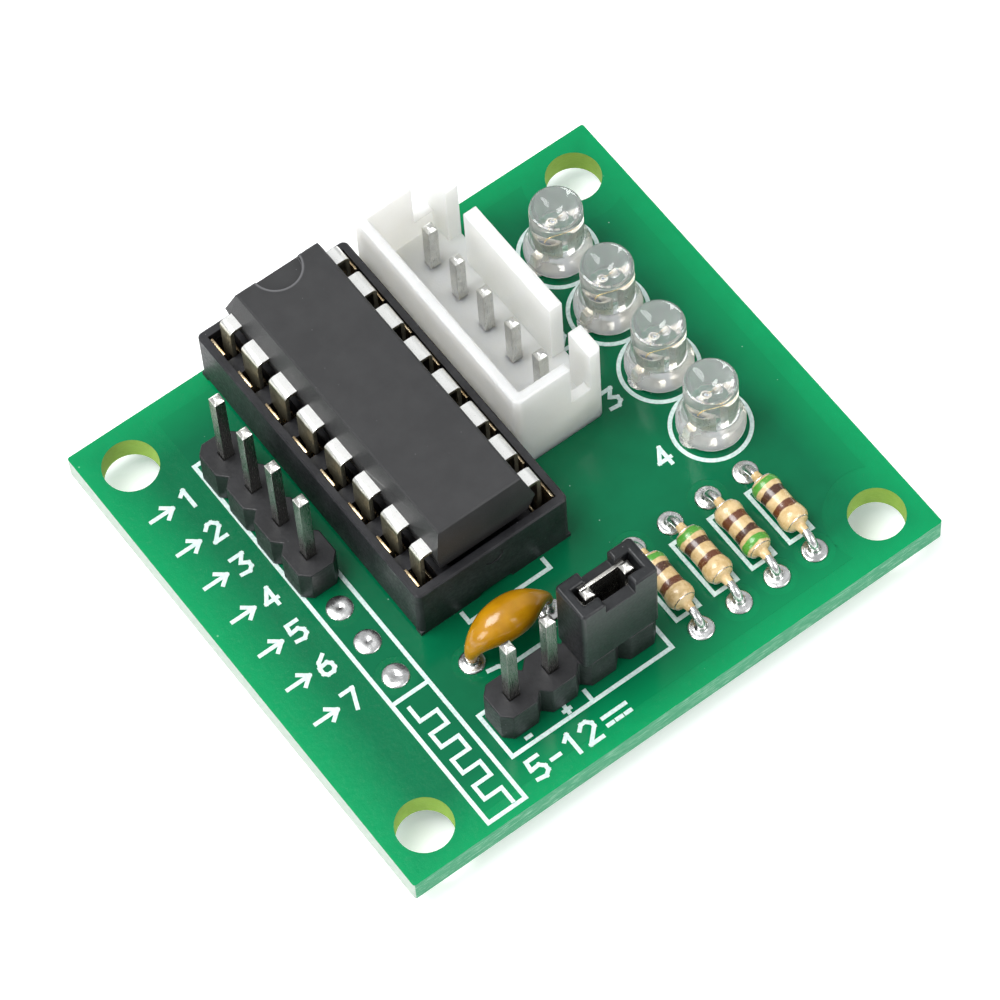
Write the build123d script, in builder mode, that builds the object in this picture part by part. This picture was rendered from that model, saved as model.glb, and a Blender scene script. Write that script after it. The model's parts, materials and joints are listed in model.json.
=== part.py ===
"""Stepper driver module: a small through-hole board with a socketed driver chip, a motor
connector, two pin headers, a jumper, four indicator LEDs, their resistors and a capacitor.

Frame: millimetres, +X along the board's long side, +Z up. The origin is under the centre of the
board, on the plane that the trimmed leads stand on.
"""
from build123d import *
from math import atan2, degrees, hypot, sqrt
import os

os.makedirs("parts", exist_ok=True)

# ------------------------------------------------------------------ driving dimensions
# Board
BOARD_L = 35.0            # along X
BOARD_W = 32.0            # along Y
BOARD_T = 1.6
BOARD_CORNER_R = 0.15
MOUNT_HOLE_D = 3.2
MOUNT_EDGE = 2.5          # hole centre to each board edge
LEAD_STUB = 1.5           # every soldered lead is trimmed this far below the board
PLATING = 0.05            # copper in the holes
PAD_T = 0.05              # copper and tin standing on each face
INK_T = 0.03              # legend ink

# Square-pin headers
PITCH = 2.54
PIN_W = 0.64
PIN_TIP = 0.2             # chamfer at a pin's free end
HEADER_W = 2.48
HEADER_H = 2.5
HEADER_CHAMFER = 0.5
INPUT_PLACES = 7
INPUT_PINS = 4
INPUT_PIN_RISE = 5.95     # pin above its insulator
POWER_PINS = 4
POWER_PIN_RISE = 5.45

# Jumper
JUMPER_L = 4.9
JUMPER_W = 2.48
JUMPER_H = 5.5
JUMPER_GAP = 1.9          # opening between the raised ends
JUMPER_GAP_DEPTH = 0.9
JUMPER_LIFT = 0.02        # above the header's insulator
JUMPER_CORNER_R = 0.25
JUMPER_CHAMFER = 0.12
CLIP_T = 0.2
CLIP_FIT = 0.03           # clip to pin, each side
CLIP_END_FIT = 0.06       # clip's bent ends to the pins
LEAF_L = 0.75
LEAF_H = 3.9              # top of the leaves above the jumper's underside
CLIP_SINK = 0.45          # clip's plate below the jumper's top
CLIP_LIFT = 0.4           # clip above the jumper's underside

# Chip socket
SOCKET_W = 9.9
SOCKET_H = 4.2
SOCKET_WALL = 0.45
SOCKET_END_WALL = 0.5
SOCKET_STAND = 0.3        # feet under the frame
SOCKET_FLOOR = 0.35
ROW_SPACING = 7.62
CHIP_PINS_PER_ROW = 8
POCKET_L = 1.5
CONTACT_T = 0.15
CONTACT_W = 1.25
CONTACT_FIT = 0.03        # contact to chip lead, each side
TAIL_W = 0.5
TAIL_T = 0.25

# Chip
CHIP_W = 6.35
CHIP_END_GAP = 1.02       # package shorter than its socket
CHIP_L = CHIP_PINS_PER_ROW * PITCH - CHIP_END_GAP
CHIP_TOP_T = 1.45         # above the lead plane
CHIP_BOTTOM_T = 1.75      # below it
CHIP_RIDE = 1.8           # top of the leads above the socket's rim
CHIP_TOP_DRAFT = 18.0
CHIP_BOTTOM_DRAFT = 10.0
LEAD_T = 0.25
SHOULDER_W = 1.52
TIP_W = 0.46

# Motor connector
MOTOR_PINS = 5
MOTOR_PITCH = 2.5
MOTOR_L = 14.9            # along Y
MOTOR_D = 5.7             # along X
MOTOR_H = 7.0
MOTOR_WALL = 0.6
MOTOR_KEY_WALL = 0.85
MOTOR_FLOOR = 2.0
MOTOR_PIN_BACK = 2.35     # pin row to the outside of the keyed wall
MOTOR_PIN_TOP = 5.7
KEY_TAB_L = 7.75          # middle of the keyed wall
KEY_SLOT_W = 1.65
END_NOTCH_W = 1.3
END_NOTCH_SILL = 3.5

# LEDs
LED_COUNT = 4
LED_PITCH = 4.59
LED_D = 3.0
LED_FLANGE_D = 3.85
LED_STAND = 0.4
LED_TOP = 4.75
LED_FLANGE_TOP = 1.3
LED_SHOULDER = 2.0
LED_CONE_D = 2.5
LED_CONE_DEPTH = 0.9
LED_LEG_W = 0.45

# Resistors and capacitor
RES_COUNT = 4
RES_SPAN = 6.0            # lead to lead
RES_BODY_L = 3.6
RES_END_D = 1.7
RES_WAIST_D = 1.5
RES_AXIS_H = 0.95
WIRE_D = 0.5
CORE_D = 1.1
CAP_T = 0.12              # steel end cap
CAP_LEN = 0.85
CAPACITOR_SPAN = 5.08
CAPACITOR_H = 2.3         # middle of the body above the board
CAPACITOR_RX = 1.85
CAPACITOR_R = 1.38
CAPACITOR_COAT = 0.22     # epoxy on its legs

# Finished holes, sized by the fattest lead that each kind takes, and their pads
PIN_HOLE_PLAY = 0.095     # hole to the corners of a square pin, over the diameter
PIN_HOLE_D = PIN_W * sqrt(2) + PIN_HOLE_PLAY
PIN_PAD_D = PIN_HOLE_D + 0.5
LEAD_HOLE_PLAY = 0.16
LEAD_HOLE_D = max(LED_LEG_W * sqrt(2), WIRE_D, TAIL_W) + LEAD_HOLE_PLAY
LEAD_PAD_D = LEAD_HOLE_D + 0.65
CONTACT_PAD_D = LEAD_HOLE_D + 0.5

# Places on the board
INPUT_EDGE = 6.4          # input header from the left edge
INPUT_FIRST = 6.34        # its first pin from the back edge
SOCKET_EDGE = 13.82       # socket centre from the left edge
SOCKET_BACK = 0.2         # socket from the back edge
MOTOR_GAP = 0.28          # connector from the socket
MOTOR_BACK = 0.75         # connector from the back edge
LED_EDGE = 6.15
LED_BACK = 5.95
RES_EDGE = 6.5
RES_FRONT = 5.8
POWER_EDGE = 9.95
POWER_FRONT = 4.8
CAPACITOR_EDGE = 12.61
CAPACITOR_FRONT = 8.6

# ------------------------------------------------------------------ derived levels and places
BOARD_BOTTOM = LEAD_STUB
BOARD_TOP = LEAD_STUB + BOARD_T
SEAT = BOARD_TOP + PAD_T                      # insulators stand on the pads
HEADER_TOP = SEAT + HEADER_H

LEFT = -BOARD_L / 2
RIGHT = BOARD_L / 2
FRONT = -BOARD_W / 2
BACK = BOARD_W / 2

INPUT_X = LEFT + INPUT_EDGE
INPUT_Y1 = BACK - INPUT_FIRST
input_places = [(INPUT_X, INPUT_Y1 - PITCH * k) for k in range(INPUT_PLACES)]
input_points = input_places[:INPUT_PINS]
input_empty = input_places[INPUT_PINS:]

POWER_X1 = LEFT + POWER_EDGE
POWER_Y = FRONT + POWER_FRONT
power_points = [(POWER_X1 + PITCH * k, POWER_Y) for k in range(POWER_PINS)]
JUMPER_X = (power_points[-1][0] + power_points[-2][0]) / 2

SOCKET_L = CHIP_PINS_PER_ROW * PITCH
SOCKET_X = LEFT + SOCKET_EDGE
SOCKET_Y = BACK - SOCKET_BACK - SOCKET_L / 2
row_offsets = [PITCH * ((CHIP_PINS_PER_ROW - 1) / 2 - k) for k in range(CHIP_PINS_PER_ROW)]
socket_points = [
    (SOCKET_X + side * ROW_SPACING / 2, SOCKET_Y + dy) for side in (-1, 1) for dy in row_offsets
]

MOTOR_X0 = SOCKET_X + SOCKET_W / 2 + MOTOR_GAP
MOTOR_X1 = MOTOR_X0 + MOTOR_D
MOTOR_X = (MOTOR_X0 + MOTOR_X1) / 2
MOTOR_Y = BACK - MOTOR_BACK - MOTOR_L / 2
MOTOR_PIN_X = MOTOR_X1 - MOTOR_PIN_BACK
motor_points = [
    (MOTOR_PIN_X, MOTOR_Y + MOTOR_PITCH * ((MOTOR_PINS - 1) / 2 - k)) for k in range(MOTOR_PINS)
]

LED_X = RIGHT - LED_EDGE
led_places = [(LED_X, BACK - LED_BACK - LED_PITCH * k) for k in range(LED_COUNT)]
led_points = [(x + side * PITCH / 2, y) for x, y in led_places for side in (-1, 1)]

RES_Y = FRONT + RES_FRONT
resistor_places = [(RIGHT - RES_EDGE - PITCH * k, RES_Y) for k in range(RES_COUNT)]
resistor_points = [(x, y + side * RES_SPAN / 2) for x, y in resistor_places for side in (-1, 1)]

CAPACITOR_X = LEFT + CAPACITOR_EDGE
CAPACITOR_Y = FRONT + CAPACITOR_FRONT
capacitor_points = [
    (CAPACITOR_X + side * CAPACITOR_SPAN / 2, CAPACITOR_Y) for side in (-1, 1)
]

# Every plated hole: centres, finished diameter, pad diameter
hole_sets = [
    (socket_points, LEAD_HOLE_D, CONTACT_PAD_D),
    (input_places, PIN_HOLE_D, PIN_PAD_D),
    (power_points, PIN_HOLE_D, PIN_PAD_D),
    (motor_points, PIN_HOLE_D, PIN_PAD_D),
    (led_points, LEAD_HOLE_D, LEAD_PAD_D),
    (resistor_points, LEAD_HOLE_D, LEAD_PAD_D),
    (capacitor_points, LEAD_HOLE_D, LEAD_PAD_D),
]


# ------------------------------------------------------------------ board
with BuildPart() as circuit_board:
    with BuildSketch(Plane.XY.offset(BOARD_BOTTOM)):
        RectangleRounded(BOARD_L, BOARD_W, BOARD_CORNER_R)
        with GridLocations(BOARD_L - 2 * MOUNT_EDGE, BOARD_W - 2 * MOUNT_EDGE, 2, 2):
            Circle(MOUNT_HOLE_D / 2, mode=Mode.SUBTRACT)
        for points, hole_d, pad_d in hole_sets:
            with Locations(*points):
                Circle(hole_d / 2 + PLATING, mode=Mode.SUBTRACT)
    extrude(amount=BOARD_T)
circuit_board.part.label = "circuit_board"
export_step(circuit_board.part, "parts/circuit_board.step")

# A pad on each face and the copper barrel between them, one spool per hole
with BuildPart() as plated_holes:
    for points, hole_d, pad_d in hole_sets:
        for level in (BOARD_BOTTOM - PAD_T, BOARD_TOP):
            with BuildSketch(Plane.XY.offset(level)):
                with Locations(*points):
                    Circle(pad_d / 2)
                    Circle(hole_d / 2, mode=Mode.SUBTRACT)
            extrude(amount=PAD_T)
        with BuildSketch(Plane.XY.offset(BOARD_BOTTOM)):
            with Locations(*points):
                Circle(hole_d / 2 + PLATING)
                Circle(hole_d / 2, mode=Mode.SUBTRACT)
        extrude(amount=BOARD_T)
plated_holes.part.label = "plated_holes"
export_step(plated_holes.part, "parts/plated_holes.step")


# ------------------------------------------------------------------ pins and headers
def square_pins(points, top):
    """Straight square pins from the trimming plane to the given height, pointed at the top."""
    with BuildPart() as pins:
        with BuildSketch():
            with Locations(*points):
                Rectangle(PIN_W, PIN_W)
        extrude(amount=top)
        chamfer(pins.edges().group_by(Axis.Z)[-1], PIN_TIP)
    return pins


def header_body(points, along_x):
    """Row of joined cells, each with chamfered corners, with a square hole for each pin."""
    cell = (PITCH, HEADER_W) if along_x else (HEADER_W, PITCH)
    middle_x = (points[0][0] + points[-1][0]) / 2
    middle_y = (points[0][1] + points[-1][1]) / 2
    run = PITCH * (len(points) - 1)
    web = HEADER_W - 2 * HEADER_CHAMFER
    with BuildSketch() as cell_outline:
        Rectangle(*cell)
        chamfer(cell_outline.vertices(), HEADER_CHAMFER)
    with BuildPart() as body:
        with BuildSketch(Plane.XY.offset(SEAT)):
            with Locations(*points):
                add(cell_outline.sketch)
            with Locations((middle_x, middle_y)):
                Rectangle(*((run, web) if along_x else (web, run)))
            with Locations(*points):
                Rectangle(PIN_W, PIN_W, mode=Mode.SUBTRACT)
        extrude(amount=HEADER_H)
    return body


input_pins = square_pins(input_points, HEADER_TOP + INPUT_PIN_RISE)
input_pins.part.label = "input_pins"
export_step(input_pins.part, "parts/input_pins.step")

input_header = header_body(input_points, along_x=False)
input_header.part.label = "input_header"
export_step(input_header.part, "parts/input_header.step")

power_pins = square_pins(power_points, HEADER_TOP + POWER_PIN_RISE)
power_pins.part.label = "power_pins"
export_step(power_pins.part, "parts/power_pins.step")

power_header = header_body(power_points, along_x=True)
power_header.part.label = "power_header"
export_step(power_header.part, "parts/power_header.step")


# ------------------------------------------------------------------ jumper
# The last two power pins pass through it. Its cavity is open top and bottom.
JUMPER_Z0 = HEADER_TOP + JUMPER_LIFT
JUMPER_Z1 = JUMPER_Z0 + JUMPER_H
clip_in = PIN_W / 2 + CLIP_FIT                  # inside face of each leaf, from the pin row
clip_out = clip_in + CLIP_T
clip_end = PITCH / 2 + PIN_W / 2 + CLIP_END_FIT  # inside face of the clip's bent ends
cavity_x = clip_end + CLIP_T
LEAF_TOP = JUMPER_Z0 + LEAF_H
PLATE_TOP = JUMPER_Z1 - CLIP_SINK
CLIP_BOTTOM = JUMPER_Z0 + CLIP_LIFT

with BuildPart() as jumper_cap:
    with BuildSketch(Plane.XY.offset(JUMPER_Z0)):
        with Locations((JUMPER_X, POWER_Y)):
            RectangleRounded(JUMPER_L, JUMPER_W, JUMPER_CORNER_R)
            Rectangle(2 * cavity_x, 2 * clip_out, mode=Mode.SUBTRACT)
    extrude(amount=JUMPER_H)
    with BuildSketch(Plane.XY.offset(JUMPER_Z1 - JUMPER_GAP_DEPTH)):
        with Locations((JUMPER_X, POWER_Y)):
            Rectangle(JUMPER_GAP, JUMPER_W)
    extrude(amount=JUMPER_GAP_DEPTH, mode=Mode.SUBTRACT)
    raised_ends = jumper_cap.faces().group_by(Axis.Z)[-1]
    chamfer([edge for face in raised_ends for edge in face.outer_wire().edges()], JUMPER_CHAMFER)
jumper_cap.part.label = "jumper_cap"
export_step(jumper_cap.part, "parts/jumper_cap.step")

# Folded spring: a plate behind both pins, bent ends, and a short leaf in front of each pin
with BuildPart() as jumper_clip:
    with BuildSketch(Plane.XY.offset(CLIP_BOTTOM)):
        with Locations((JUMPER_X, POWER_Y)):
            Rectangle(2 * cavity_x, 2 * clip_out)
            Rectangle(2 * clip_end, 2 * clip_in, mode=Mode.SUBTRACT)
        with Locations((JUMPER_X, POWER_Y - clip_out)):
            Rectangle(2 * (clip_end - LEAF_L), 2 * CLIP_T, mode=Mode.SUBTRACT)
    extrude(amount=LEAF_TOP - CLIP_BOTTOM)
    with BuildSketch(Plane.XY.offset(LEAF_TOP)):
        with Locations((JUMPER_X, POWER_Y + (clip_in + clip_out) / 2)):
            Rectangle(PITCH + PIN_W / 2, CLIP_T)
    extrude(amount=PLATE_TOP - LEAF_TOP)
jumper_clip.part.label = "jumper_clip"
export_step(jumper_clip.part, "parts/jumper_clip.step")


# ------------------------------------------------------------------ chip socket
SOCKET_TOP = BOARD_TOP + SOCKET_H
FRAME_Z0 = BOARD_TOP + SOCKET_STAND
FLOOR_TOP = FRAME_Z0 + SOCKET_FLOOR
OPENING_X = 2.3                                 # half of the open middle
RIM_DEPTH = 0.7                                 # ribs and inner walls lie this far below the rim
BAR_H = 1.0                                     # height of the three bars across the middle
BAR_W = 1.4
BAR_END_GAP = 0.6                               # outer bar to the end wall
FOOT_GAP = 2.1                                  # relief under the middle of each end wall
FOOT_CLEAR = 0.05                               # feet to the nearest pads
POCKET_D = 1.45                                 # pocket across the row
TAIL_FIT = 0.03                                 # tail to its slot, each side
MARK_D = 1.2                                    # ejector marks on the end walls
MARK_DEPTH = 0.05
MARK_SPACING = 3.6
MARK_H = 1.5                                    # above the board
SOCKET_CORNER_R = 0.35
SOCKET_CHAMFER = 0.1

POCKET_OUT = SOCKET_W / 2 - SOCKET_WALL          # pocket's outer face, from the socket's middle
POCKET_IN = POCKET_OUT - POCKET_D

row_spots = [(side * ROW_SPACING / 2, dy) for side in (-1, 1) for dy in row_offsets]
pocket_spots = [
    (side * (POCKET_IN + POCKET_OUT) / 2, dy) for side in (-1, 1) for dy in row_offsets
]
socket_plane = Plane((SOCKET_X, SOCKET_Y, 0))
bar_spacing = SOCKET_L / 2 - SOCKET_END_WALL - BAR_END_GAP - BAR_W / 2

with BuildPart() as socket_frame:
    with BuildSketch(socket_plane.offset(FRAME_Z0)):
        RectangleRounded(SOCKET_W, SOCKET_L, SOCKET_CORNER_R)
    extrude(amount=SOCKET_TOP - FRAME_Z0)
    with BuildSketch(socket_plane.offset(SOCKET_TOP - RIM_DEPTH)):
        Rectangle(2 * POCKET_OUT, SOCKET_L - 2 * SOCKET_END_WALL)
    extrude(amount=RIM_DEPTH, mode=Mode.SUBTRACT)
    with BuildSketch(socket_plane.offset(FLOOR_TOP)):
        with Locations(*pocket_spots):
            Rectangle(POCKET_OUT - POCKET_IN, POCKET_L)
    extrude(amount=SOCKET_H, mode=Mode.SUBTRACT)
    with BuildSketch(socket_plane.offset(FRAME_Z0)):
        Rectangle(2 * OPENING_X, SOCKET_L - 2 * SOCKET_END_WALL)
        with GridLocations(0, bar_spacing, 1, 3):
            Rectangle(2 * OPENING_X, BAR_W, mode=Mode.SUBTRACT)
    extrude(amount=SOCKET_H, mode=Mode.SUBTRACT)
    with BuildSketch(socket_plane.offset(FRAME_Z0 + BAR_H)):
        Rectangle(2 * OPENING_X, SOCKET_L - 2 * SOCKET_END_WALL)
    extrude(amount=SOCKET_H, mode=Mode.SUBTRACT)
    with BuildSketch(socket_plane.offset(FRAME_Z0)):
        with Locations(*row_spots):
            Rectangle(TAIL_T + 2 * TAIL_FIT, TAIL_W + 2 * TAIL_FIT)
    extrude(amount=SOCKET_FLOOR, mode=Mode.SUBTRACT)
    with BuildSketch(socket_plane.offset(BOARD_TOP)):
        with GridLocations(0, SOCKET_L - SOCKET_END_WALL, 1, 2):
            Rectangle(SOCKET_W, SOCKET_END_WALL)
            Rectangle(FOOT_GAP, SOCKET_END_WALL, mode=Mode.SUBTRACT)
        with Locations(*row_spots):
            Circle(CONTACT_PAD_D / 2 + FOOT_CLEAR, mode=Mode.SUBTRACT)
    extrude(amount=SOCKET_STAND)
    chamfer(socket_frame.faces().sort_by(Axis.Z)[-1].outer_wire().edges(), SOCKET_CHAMFER)
    for end in (-1, 1):
        end_face = Plane(
            (SOCKET_X, SOCKET_Y + end * SOCKET_L / 2, BOARD_TOP + MARK_H), z_dir=(0, end, 0)
        )
        with BuildSketch(end_face):
            with GridLocations(MARK_SPACING, 0, 2, 1):
                Circle(MARK_D / 2)
        extrude(amount=-MARK_DEPTH, mode=Mode.SUBTRACT)
socket_frame.part.label = "socket_frame"
export_step(socket_frame.part, "parts/socket_frame.step")

# One contact: a tail through the board and two leaves that grip the chip's lead between them
LEAF_GAP = 0.04                                  # outer leaf to the pocket's wall
BASE_LEAN = 0.05                                 # outer leaf's lean at its foot
CONTACT_SINK = 0.12                              # outer leaf's end below the rim
GRIP_H = 2.3                                     # above the board
MOUTH_H = 0.8                                    # the inner leaf flares over this height
grip = LEAD_T / 2 + CONTACT_FIT + CONTACT_T / 2
OUTER_LEAF = POCKET_OUT - CONTACT_T / 2 - LEAF_GAP
INNER_LEAF = ROW_SPACING / 2 - 0.5
BASE_H = SOCKET_STAND + SOCKET_FLOOR + CONTACT_T / 2

with BuildPart() as contact_stock:
    with BuildSketch(Plane.XZ):
        with BuildLine():
            Polyline(
                (OUTER_LEAF, SOCKET_TOP - CONTACT_SINK),
                (ROW_SPACING / 2 + grip, BOARD_TOP + GRIP_H),
                (OUTER_LEAF - BASE_LEAN, BOARD_TOP + BASE_H),
                (INNER_LEAF, BOARD_TOP + BASE_H),
                (ROW_SPACING / 2 - grip, BOARD_TOP + GRIP_H),
                (INNER_LEAF, BOARD_TOP + GRIP_H + MOUTH_H),
            )
        trace(line_width=CONTACT_T)
    extrude(amount=CONTACT_W / 2, both=True)
    with BuildSketch():
        with Locations((ROW_SPACING / 2, 0)):
            Rectangle(TAIL_T, TAIL_W)
    extrude(amount=BOARD_TOP + BASE_H)

with BuildPart() as socket_contacts:
    for side, turn in ((1, 0), (-1, 180)):
        for dy in row_offsets:
            with Locations(Location((SOCKET_X, SOCKET_Y + dy, 0), (0, 0, turn))):
                add(contact_stock.part)
socket_contacts.part.label = "socket_contacts"
export_step(socket_contacts.part, "parts/socket_contacts.step")


# ------------------------------------------------------------------ chip
LEADS_TOP = SOCKET_TOP + CHIP_RIDE
LEADS_BOTTOM = LEADS_TOP - LEAD_T
CHIP_TOP = LEADS_TOP + CHIP_TOP_T
CHIP_BOTTOM = LEADS_BOTTOM - CHIP_BOTTOM_T
LEAD_TIP = BOARD_TOP + BASE_H + CONTACT_T
SHOULDER_END = SOCKET_TOP - RIM_DEPTH + 0.05     # a lead narrows just above the socket's ribs
NECK_H = 0.3                                     # height over which it narrows
LEAD_BEND_R = 0.35
FINGER_W = 0.5
PAD_L = 6.4
PAD_W = 2.6
PAD_CORNER_R = 0.2
DIE_L = 3.0
DIE_W = 2.0
DIE_T = 0.3
BOND_D = 0.05
BOND_INSET = 0.2                                 # a bond lies this far from its finger's end
BOND_RISE = 0.25
DIE_PAD_X = 0.8                                  # bonding spots on the die, from its middle
DIE_PAD_ROW = 1.25
FINGER_GAP = 0.5                                 # finger ends to the die pad
THIRD_COLUMN = 2.0                               # where the outer leads turn towards the die
END_COLUMN = 0.8
ROOT_DEPTH = 0.3                                 # lead stock reaching into the package
chip_plane = Plane((SOCKET_X, SOCKET_Y, 0))


def chip_lead(below, above):
    """One formed lead on the right row. Its shoulder reaches that far either side of the tip."""
    outside = ROW_SPACING / 2 + LEAD_T / 2
    inside = outside - LEAD_T
    root = CHIP_W / 2 - ROOT_DEPTH
    with BuildPart() as lead:
        with BuildSketch(Plane.XZ) as bent_strip:
            with BuildLine():
                Polyline(
                    (root, LEADS_BOTTOM),
                    (root, LEADS_TOP),
                    (outside, LEADS_TOP),
                    (outside, LEAD_TIP),
                    (inside, LEAD_TIP),
                    (inside, LEADS_BOTTOM),
                    close=True,
                )
            make_face()
            corner = bent_strip.vertices().sort_by_distance((outside, LEADS_TOP))[0]
            fillet(corner, LEAD_BEND_R)
        extrude(amount=SHOULDER_W, both=True)
        with BuildSketch(Plane.YZ.offset(root)):
            with BuildLine():
                Polyline(
                    (-below, LEADS_TOP),
                    (above, LEADS_TOP),
                    (above, SHOULDER_END),
                    (TIP_W / 2, SHOULDER_END - NECK_H),
                    (TIP_W / 2, LEAD_TIP),
                    (-TIP_W / 2, LEAD_TIP),
                    (-TIP_W / 2, SHOULDER_END - NECK_H),
                    (-below, SHOULDER_END),
                    close=True,
                )
            make_face()
        extrude(amount=outside, mode=Mode.INTERSECT)
    return lead


full_lead = chip_lead(SHOULDER_W / 2, SHOULDER_W / 2)
back_end_lead = chip_lead(SHOULDER_W / 2, TIP_W / 2)
front_end_lead = chip_lead(TIP_W / 2, SHOULDER_W / 2)


def finger_path(dy, side):
    """Middle line of the lead's run inside the package, from its root to the bonding end."""
    root = CHIP_W / 2
    reach = abs(dy)
    away = 1 if dy > 0 else -1
    if reach < 2 * PITCH:
        return [(side * root, dy), (side * (PAD_W / 2 + FINGER_GAP), dy)]
    column, bond_y = END_COLUMN, PAD_L / 2 + FINGER_GAP
    if reach < 3 * PITCH:
        column, bond_y = THIRD_COLUMN, 1.5 * PITCH + FINGER_W + FINGER_GAP
    return [(side * root, dy), (side * column, dy), (side * column, away * bond_y)]


with BuildPart() as chip_leads:
    for side, turn in ((1, 0), (-1, 180)):
        for dy in row_offsets:
            stock = full_lead
            if dy in (row_offsets[0], row_offsets[-1]):
                stock = back_end_lead if dy * side > 0 else front_end_lead
            with Locations(Location((SOCKET_X, SOCKET_Y + dy, 0), (0, 0, turn))):
                add(stock.part)
            with BuildSketch(chip_plane.offset(LEADS_BOTTOM)):
                with BuildLine():
                    Polyline(*finger_path(dy, side))
                trace(line_width=FINGER_W)
            extrude(amount=LEAD_T)
chip_leads.part.label = "chip_leads"
export_step(chip_leads.part, "parts/chip_leads.step")

with BuildPart() as chip_die_pad:
    with BuildSketch(chip_plane.offset(LEADS_BOTTOM)):
        RectangleRounded(PAD_W, PAD_L, PAD_CORNER_R)
    extrude(amount=LEAD_T)
chip_die_pad.part.label = "chip_die_pad"
export_step(chip_die_pad.part, "parts/chip_die_pad.step")

with BuildPart() as chip_die:
    with BuildSketch(chip_plane.offset(LEADS_TOP)):
        Rectangle(DIE_W, DIE_L)
    extrude(amount=DIE_T)
chip_die.part.label = "chip_die"
export_step(chip_die.part, "parts/chip_die.step")


def bond_wire(start, end, rise):
    """Arched gold wire between two points, as a swept circle."""
    middle = (start + end) / 2 + Vector(0, 0, rise)
    with BuildPart() as wire:
        with BuildLine() as arch:
            ThreePointArc(start, middle, end)
        with BuildSketch(Plane(start, z_dir=arch.line % 0)):
            Circle(BOND_D / 2)
        sweep(path=arch.line)
    return wire


with BuildPart() as chip_bond_wires:
    for side in (-1, 1):
        for dy in row_offsets:
            before, end = (Vector(*spot) for spot in finger_path(dy, side)[-2:])
            bond_end = end + (before - end).normalized() * BOND_INSET
            bond_end += Vector(SOCKET_X, SOCKET_Y, LEADS_TOP)
            die_y = DIE_PAD_ROW * dy / row_offsets[0]
            die_end = Vector(
                SOCKET_X + side * DIE_PAD_X, SOCKET_Y + die_y, LEADS_TOP + DIE_T
            )
            add(bond_wire(die_end, bond_end, BOND_RISE).part)
chip_bond_wires.part.label = "chip_bond_wires"
export_step(chip_bond_wires.part, "parts/chip_bond_wires.step")

# Moulded package: two drafted halves that meet at the lead plane, with a notch at the pin 1 end
SPLIT = (LEADS_TOP + LEADS_BOTTOM) / 2
NOTCH_R = 1.4
NOTCH_IN = 0.45                                  # its centre from the end
NOTCH_DEPTH = 0.35
CHIP_CHAMFER = 0.08

with BuildPart() as chip_body:
    with BuildSketch(chip_plane.offset(SPLIT)):
        Rectangle(CHIP_W, CHIP_L)
    extrude(amount=CHIP_TOP - SPLIT, taper=CHIP_TOP_DRAFT)
    with BuildSketch(Plane((SOCKET_X, SOCKET_Y, SPLIT), z_dir=(0, 0, -1))):
        Rectangle(CHIP_W, CHIP_L)
    extrude(amount=SPLIT - CHIP_BOTTOM, taper=CHIP_BOTTOM_DRAFT)
    chamfer(chip_body.faces().sort_by(Axis.Z)[-1].edges(), CHIP_CHAMFER)
    with BuildSketch(chip_plane.offset(CHIP_TOP - NOTCH_DEPTH)):
        with Locations((0, CHIP_L / 2 - NOTCH_IN)):
            Circle(NOTCH_R)
    extrude(amount=NOTCH_DEPTH, mode=Mode.SUBTRACT)
    for buried in (chip_leads, chip_die_pad, chip_die, chip_bond_wires):
        add(buried.part, mode=Mode.SUBTRACT)
chip_body.part.label = "chip_body"
export_step(chip_body.part, "parts/chip_body.step")


# ------------------------------------------------------------------ motor connector
motor_plane = Plane((MOTOR_X, MOTOR_Y, 0))
inside_x0 = MOTOR_X0 + MOTOR_WALL
inside_x1 = MOTOR_X1 - MOTOR_KEY_WALL
notch_x = MOTOR_X1 - MOTOR_KEY_WALL - END_NOTCH_W / 2
slot_y = KEY_TAB_L / 2 + KEY_SLOT_W / 2
PAD_RELIEF = 0.3                                 # hollow under the connector, over its pads
MOTOR_CORNER_R = 0.4
MOTOR_INNER_R = 0.15
MOTOR_CHAMFER = 0.1
relief_w = PIN_PAD_D + PAD_RELIEF

with BuildPart() as motor_housing:
    with BuildSketch(motor_plane.offset(BOARD_TOP)):
        RectangleRounded(MOTOR_D, MOTOR_L, MOTOR_CORNER_R)
    extrude(amount=MOTOR_H)
    with BuildSketch(Plane.XY.offset(BOARD_TOP + MOTOR_FLOOR)):
        with Locations(((inside_x0 + inside_x1) / 2, MOTOR_Y)):
            RectangleRounded(inside_x1 - inside_x0, MOTOR_L - 2 * MOTOR_WALL, MOTOR_INNER_R)
    extrude(amount=MOTOR_H, mode=Mode.SUBTRACT)
    with BuildSketch(Plane.XY.offset(BOARD_TOP + MOTOR_FLOOR)):
        with Locations((MOTOR_X1, MOTOR_Y - slot_y), (MOTOR_X1, MOTOR_Y + slot_y)):
            Rectangle(3 * MOTOR_KEY_WALL, KEY_SLOT_W)
    extrude(amount=MOTOR_H, mode=Mode.SUBTRACT)
    with BuildSketch(Plane.XY.offset(BOARD_TOP + END_NOTCH_SILL)):
        with Locations((notch_x, MOTOR_Y)):
            Rectangle(END_NOTCH_W, MOTOR_L)
    extrude(amount=MOTOR_H, mode=Mode.SUBTRACT)
    with BuildSketch(Plane.XY.offset(BOARD_TOP)):
        with Locations((MOTOR_PIN_X, MOTOR_Y)):
            Rectangle(relief_w, MOTOR_PITCH * (MOTOR_PINS - 1) + relief_w)
    extrude(amount=PAD_RELIEF, mode=Mode.SUBTRACT)
    with BuildSketch(Plane.XY.offset(BOARD_TOP)):
        with Locations(*motor_points):
            Rectangle(PIN_W, PIN_W)
    extrude(amount=MOTOR_H, mode=Mode.SUBTRACT)
    rims = motor_housing.faces().filter_by(Axis.Z).group_by(Axis.Z)[-1]
    chamfer([edge for face in rims for edge in face.outer_wire().edges()], MOTOR_CHAMFER)
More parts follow.
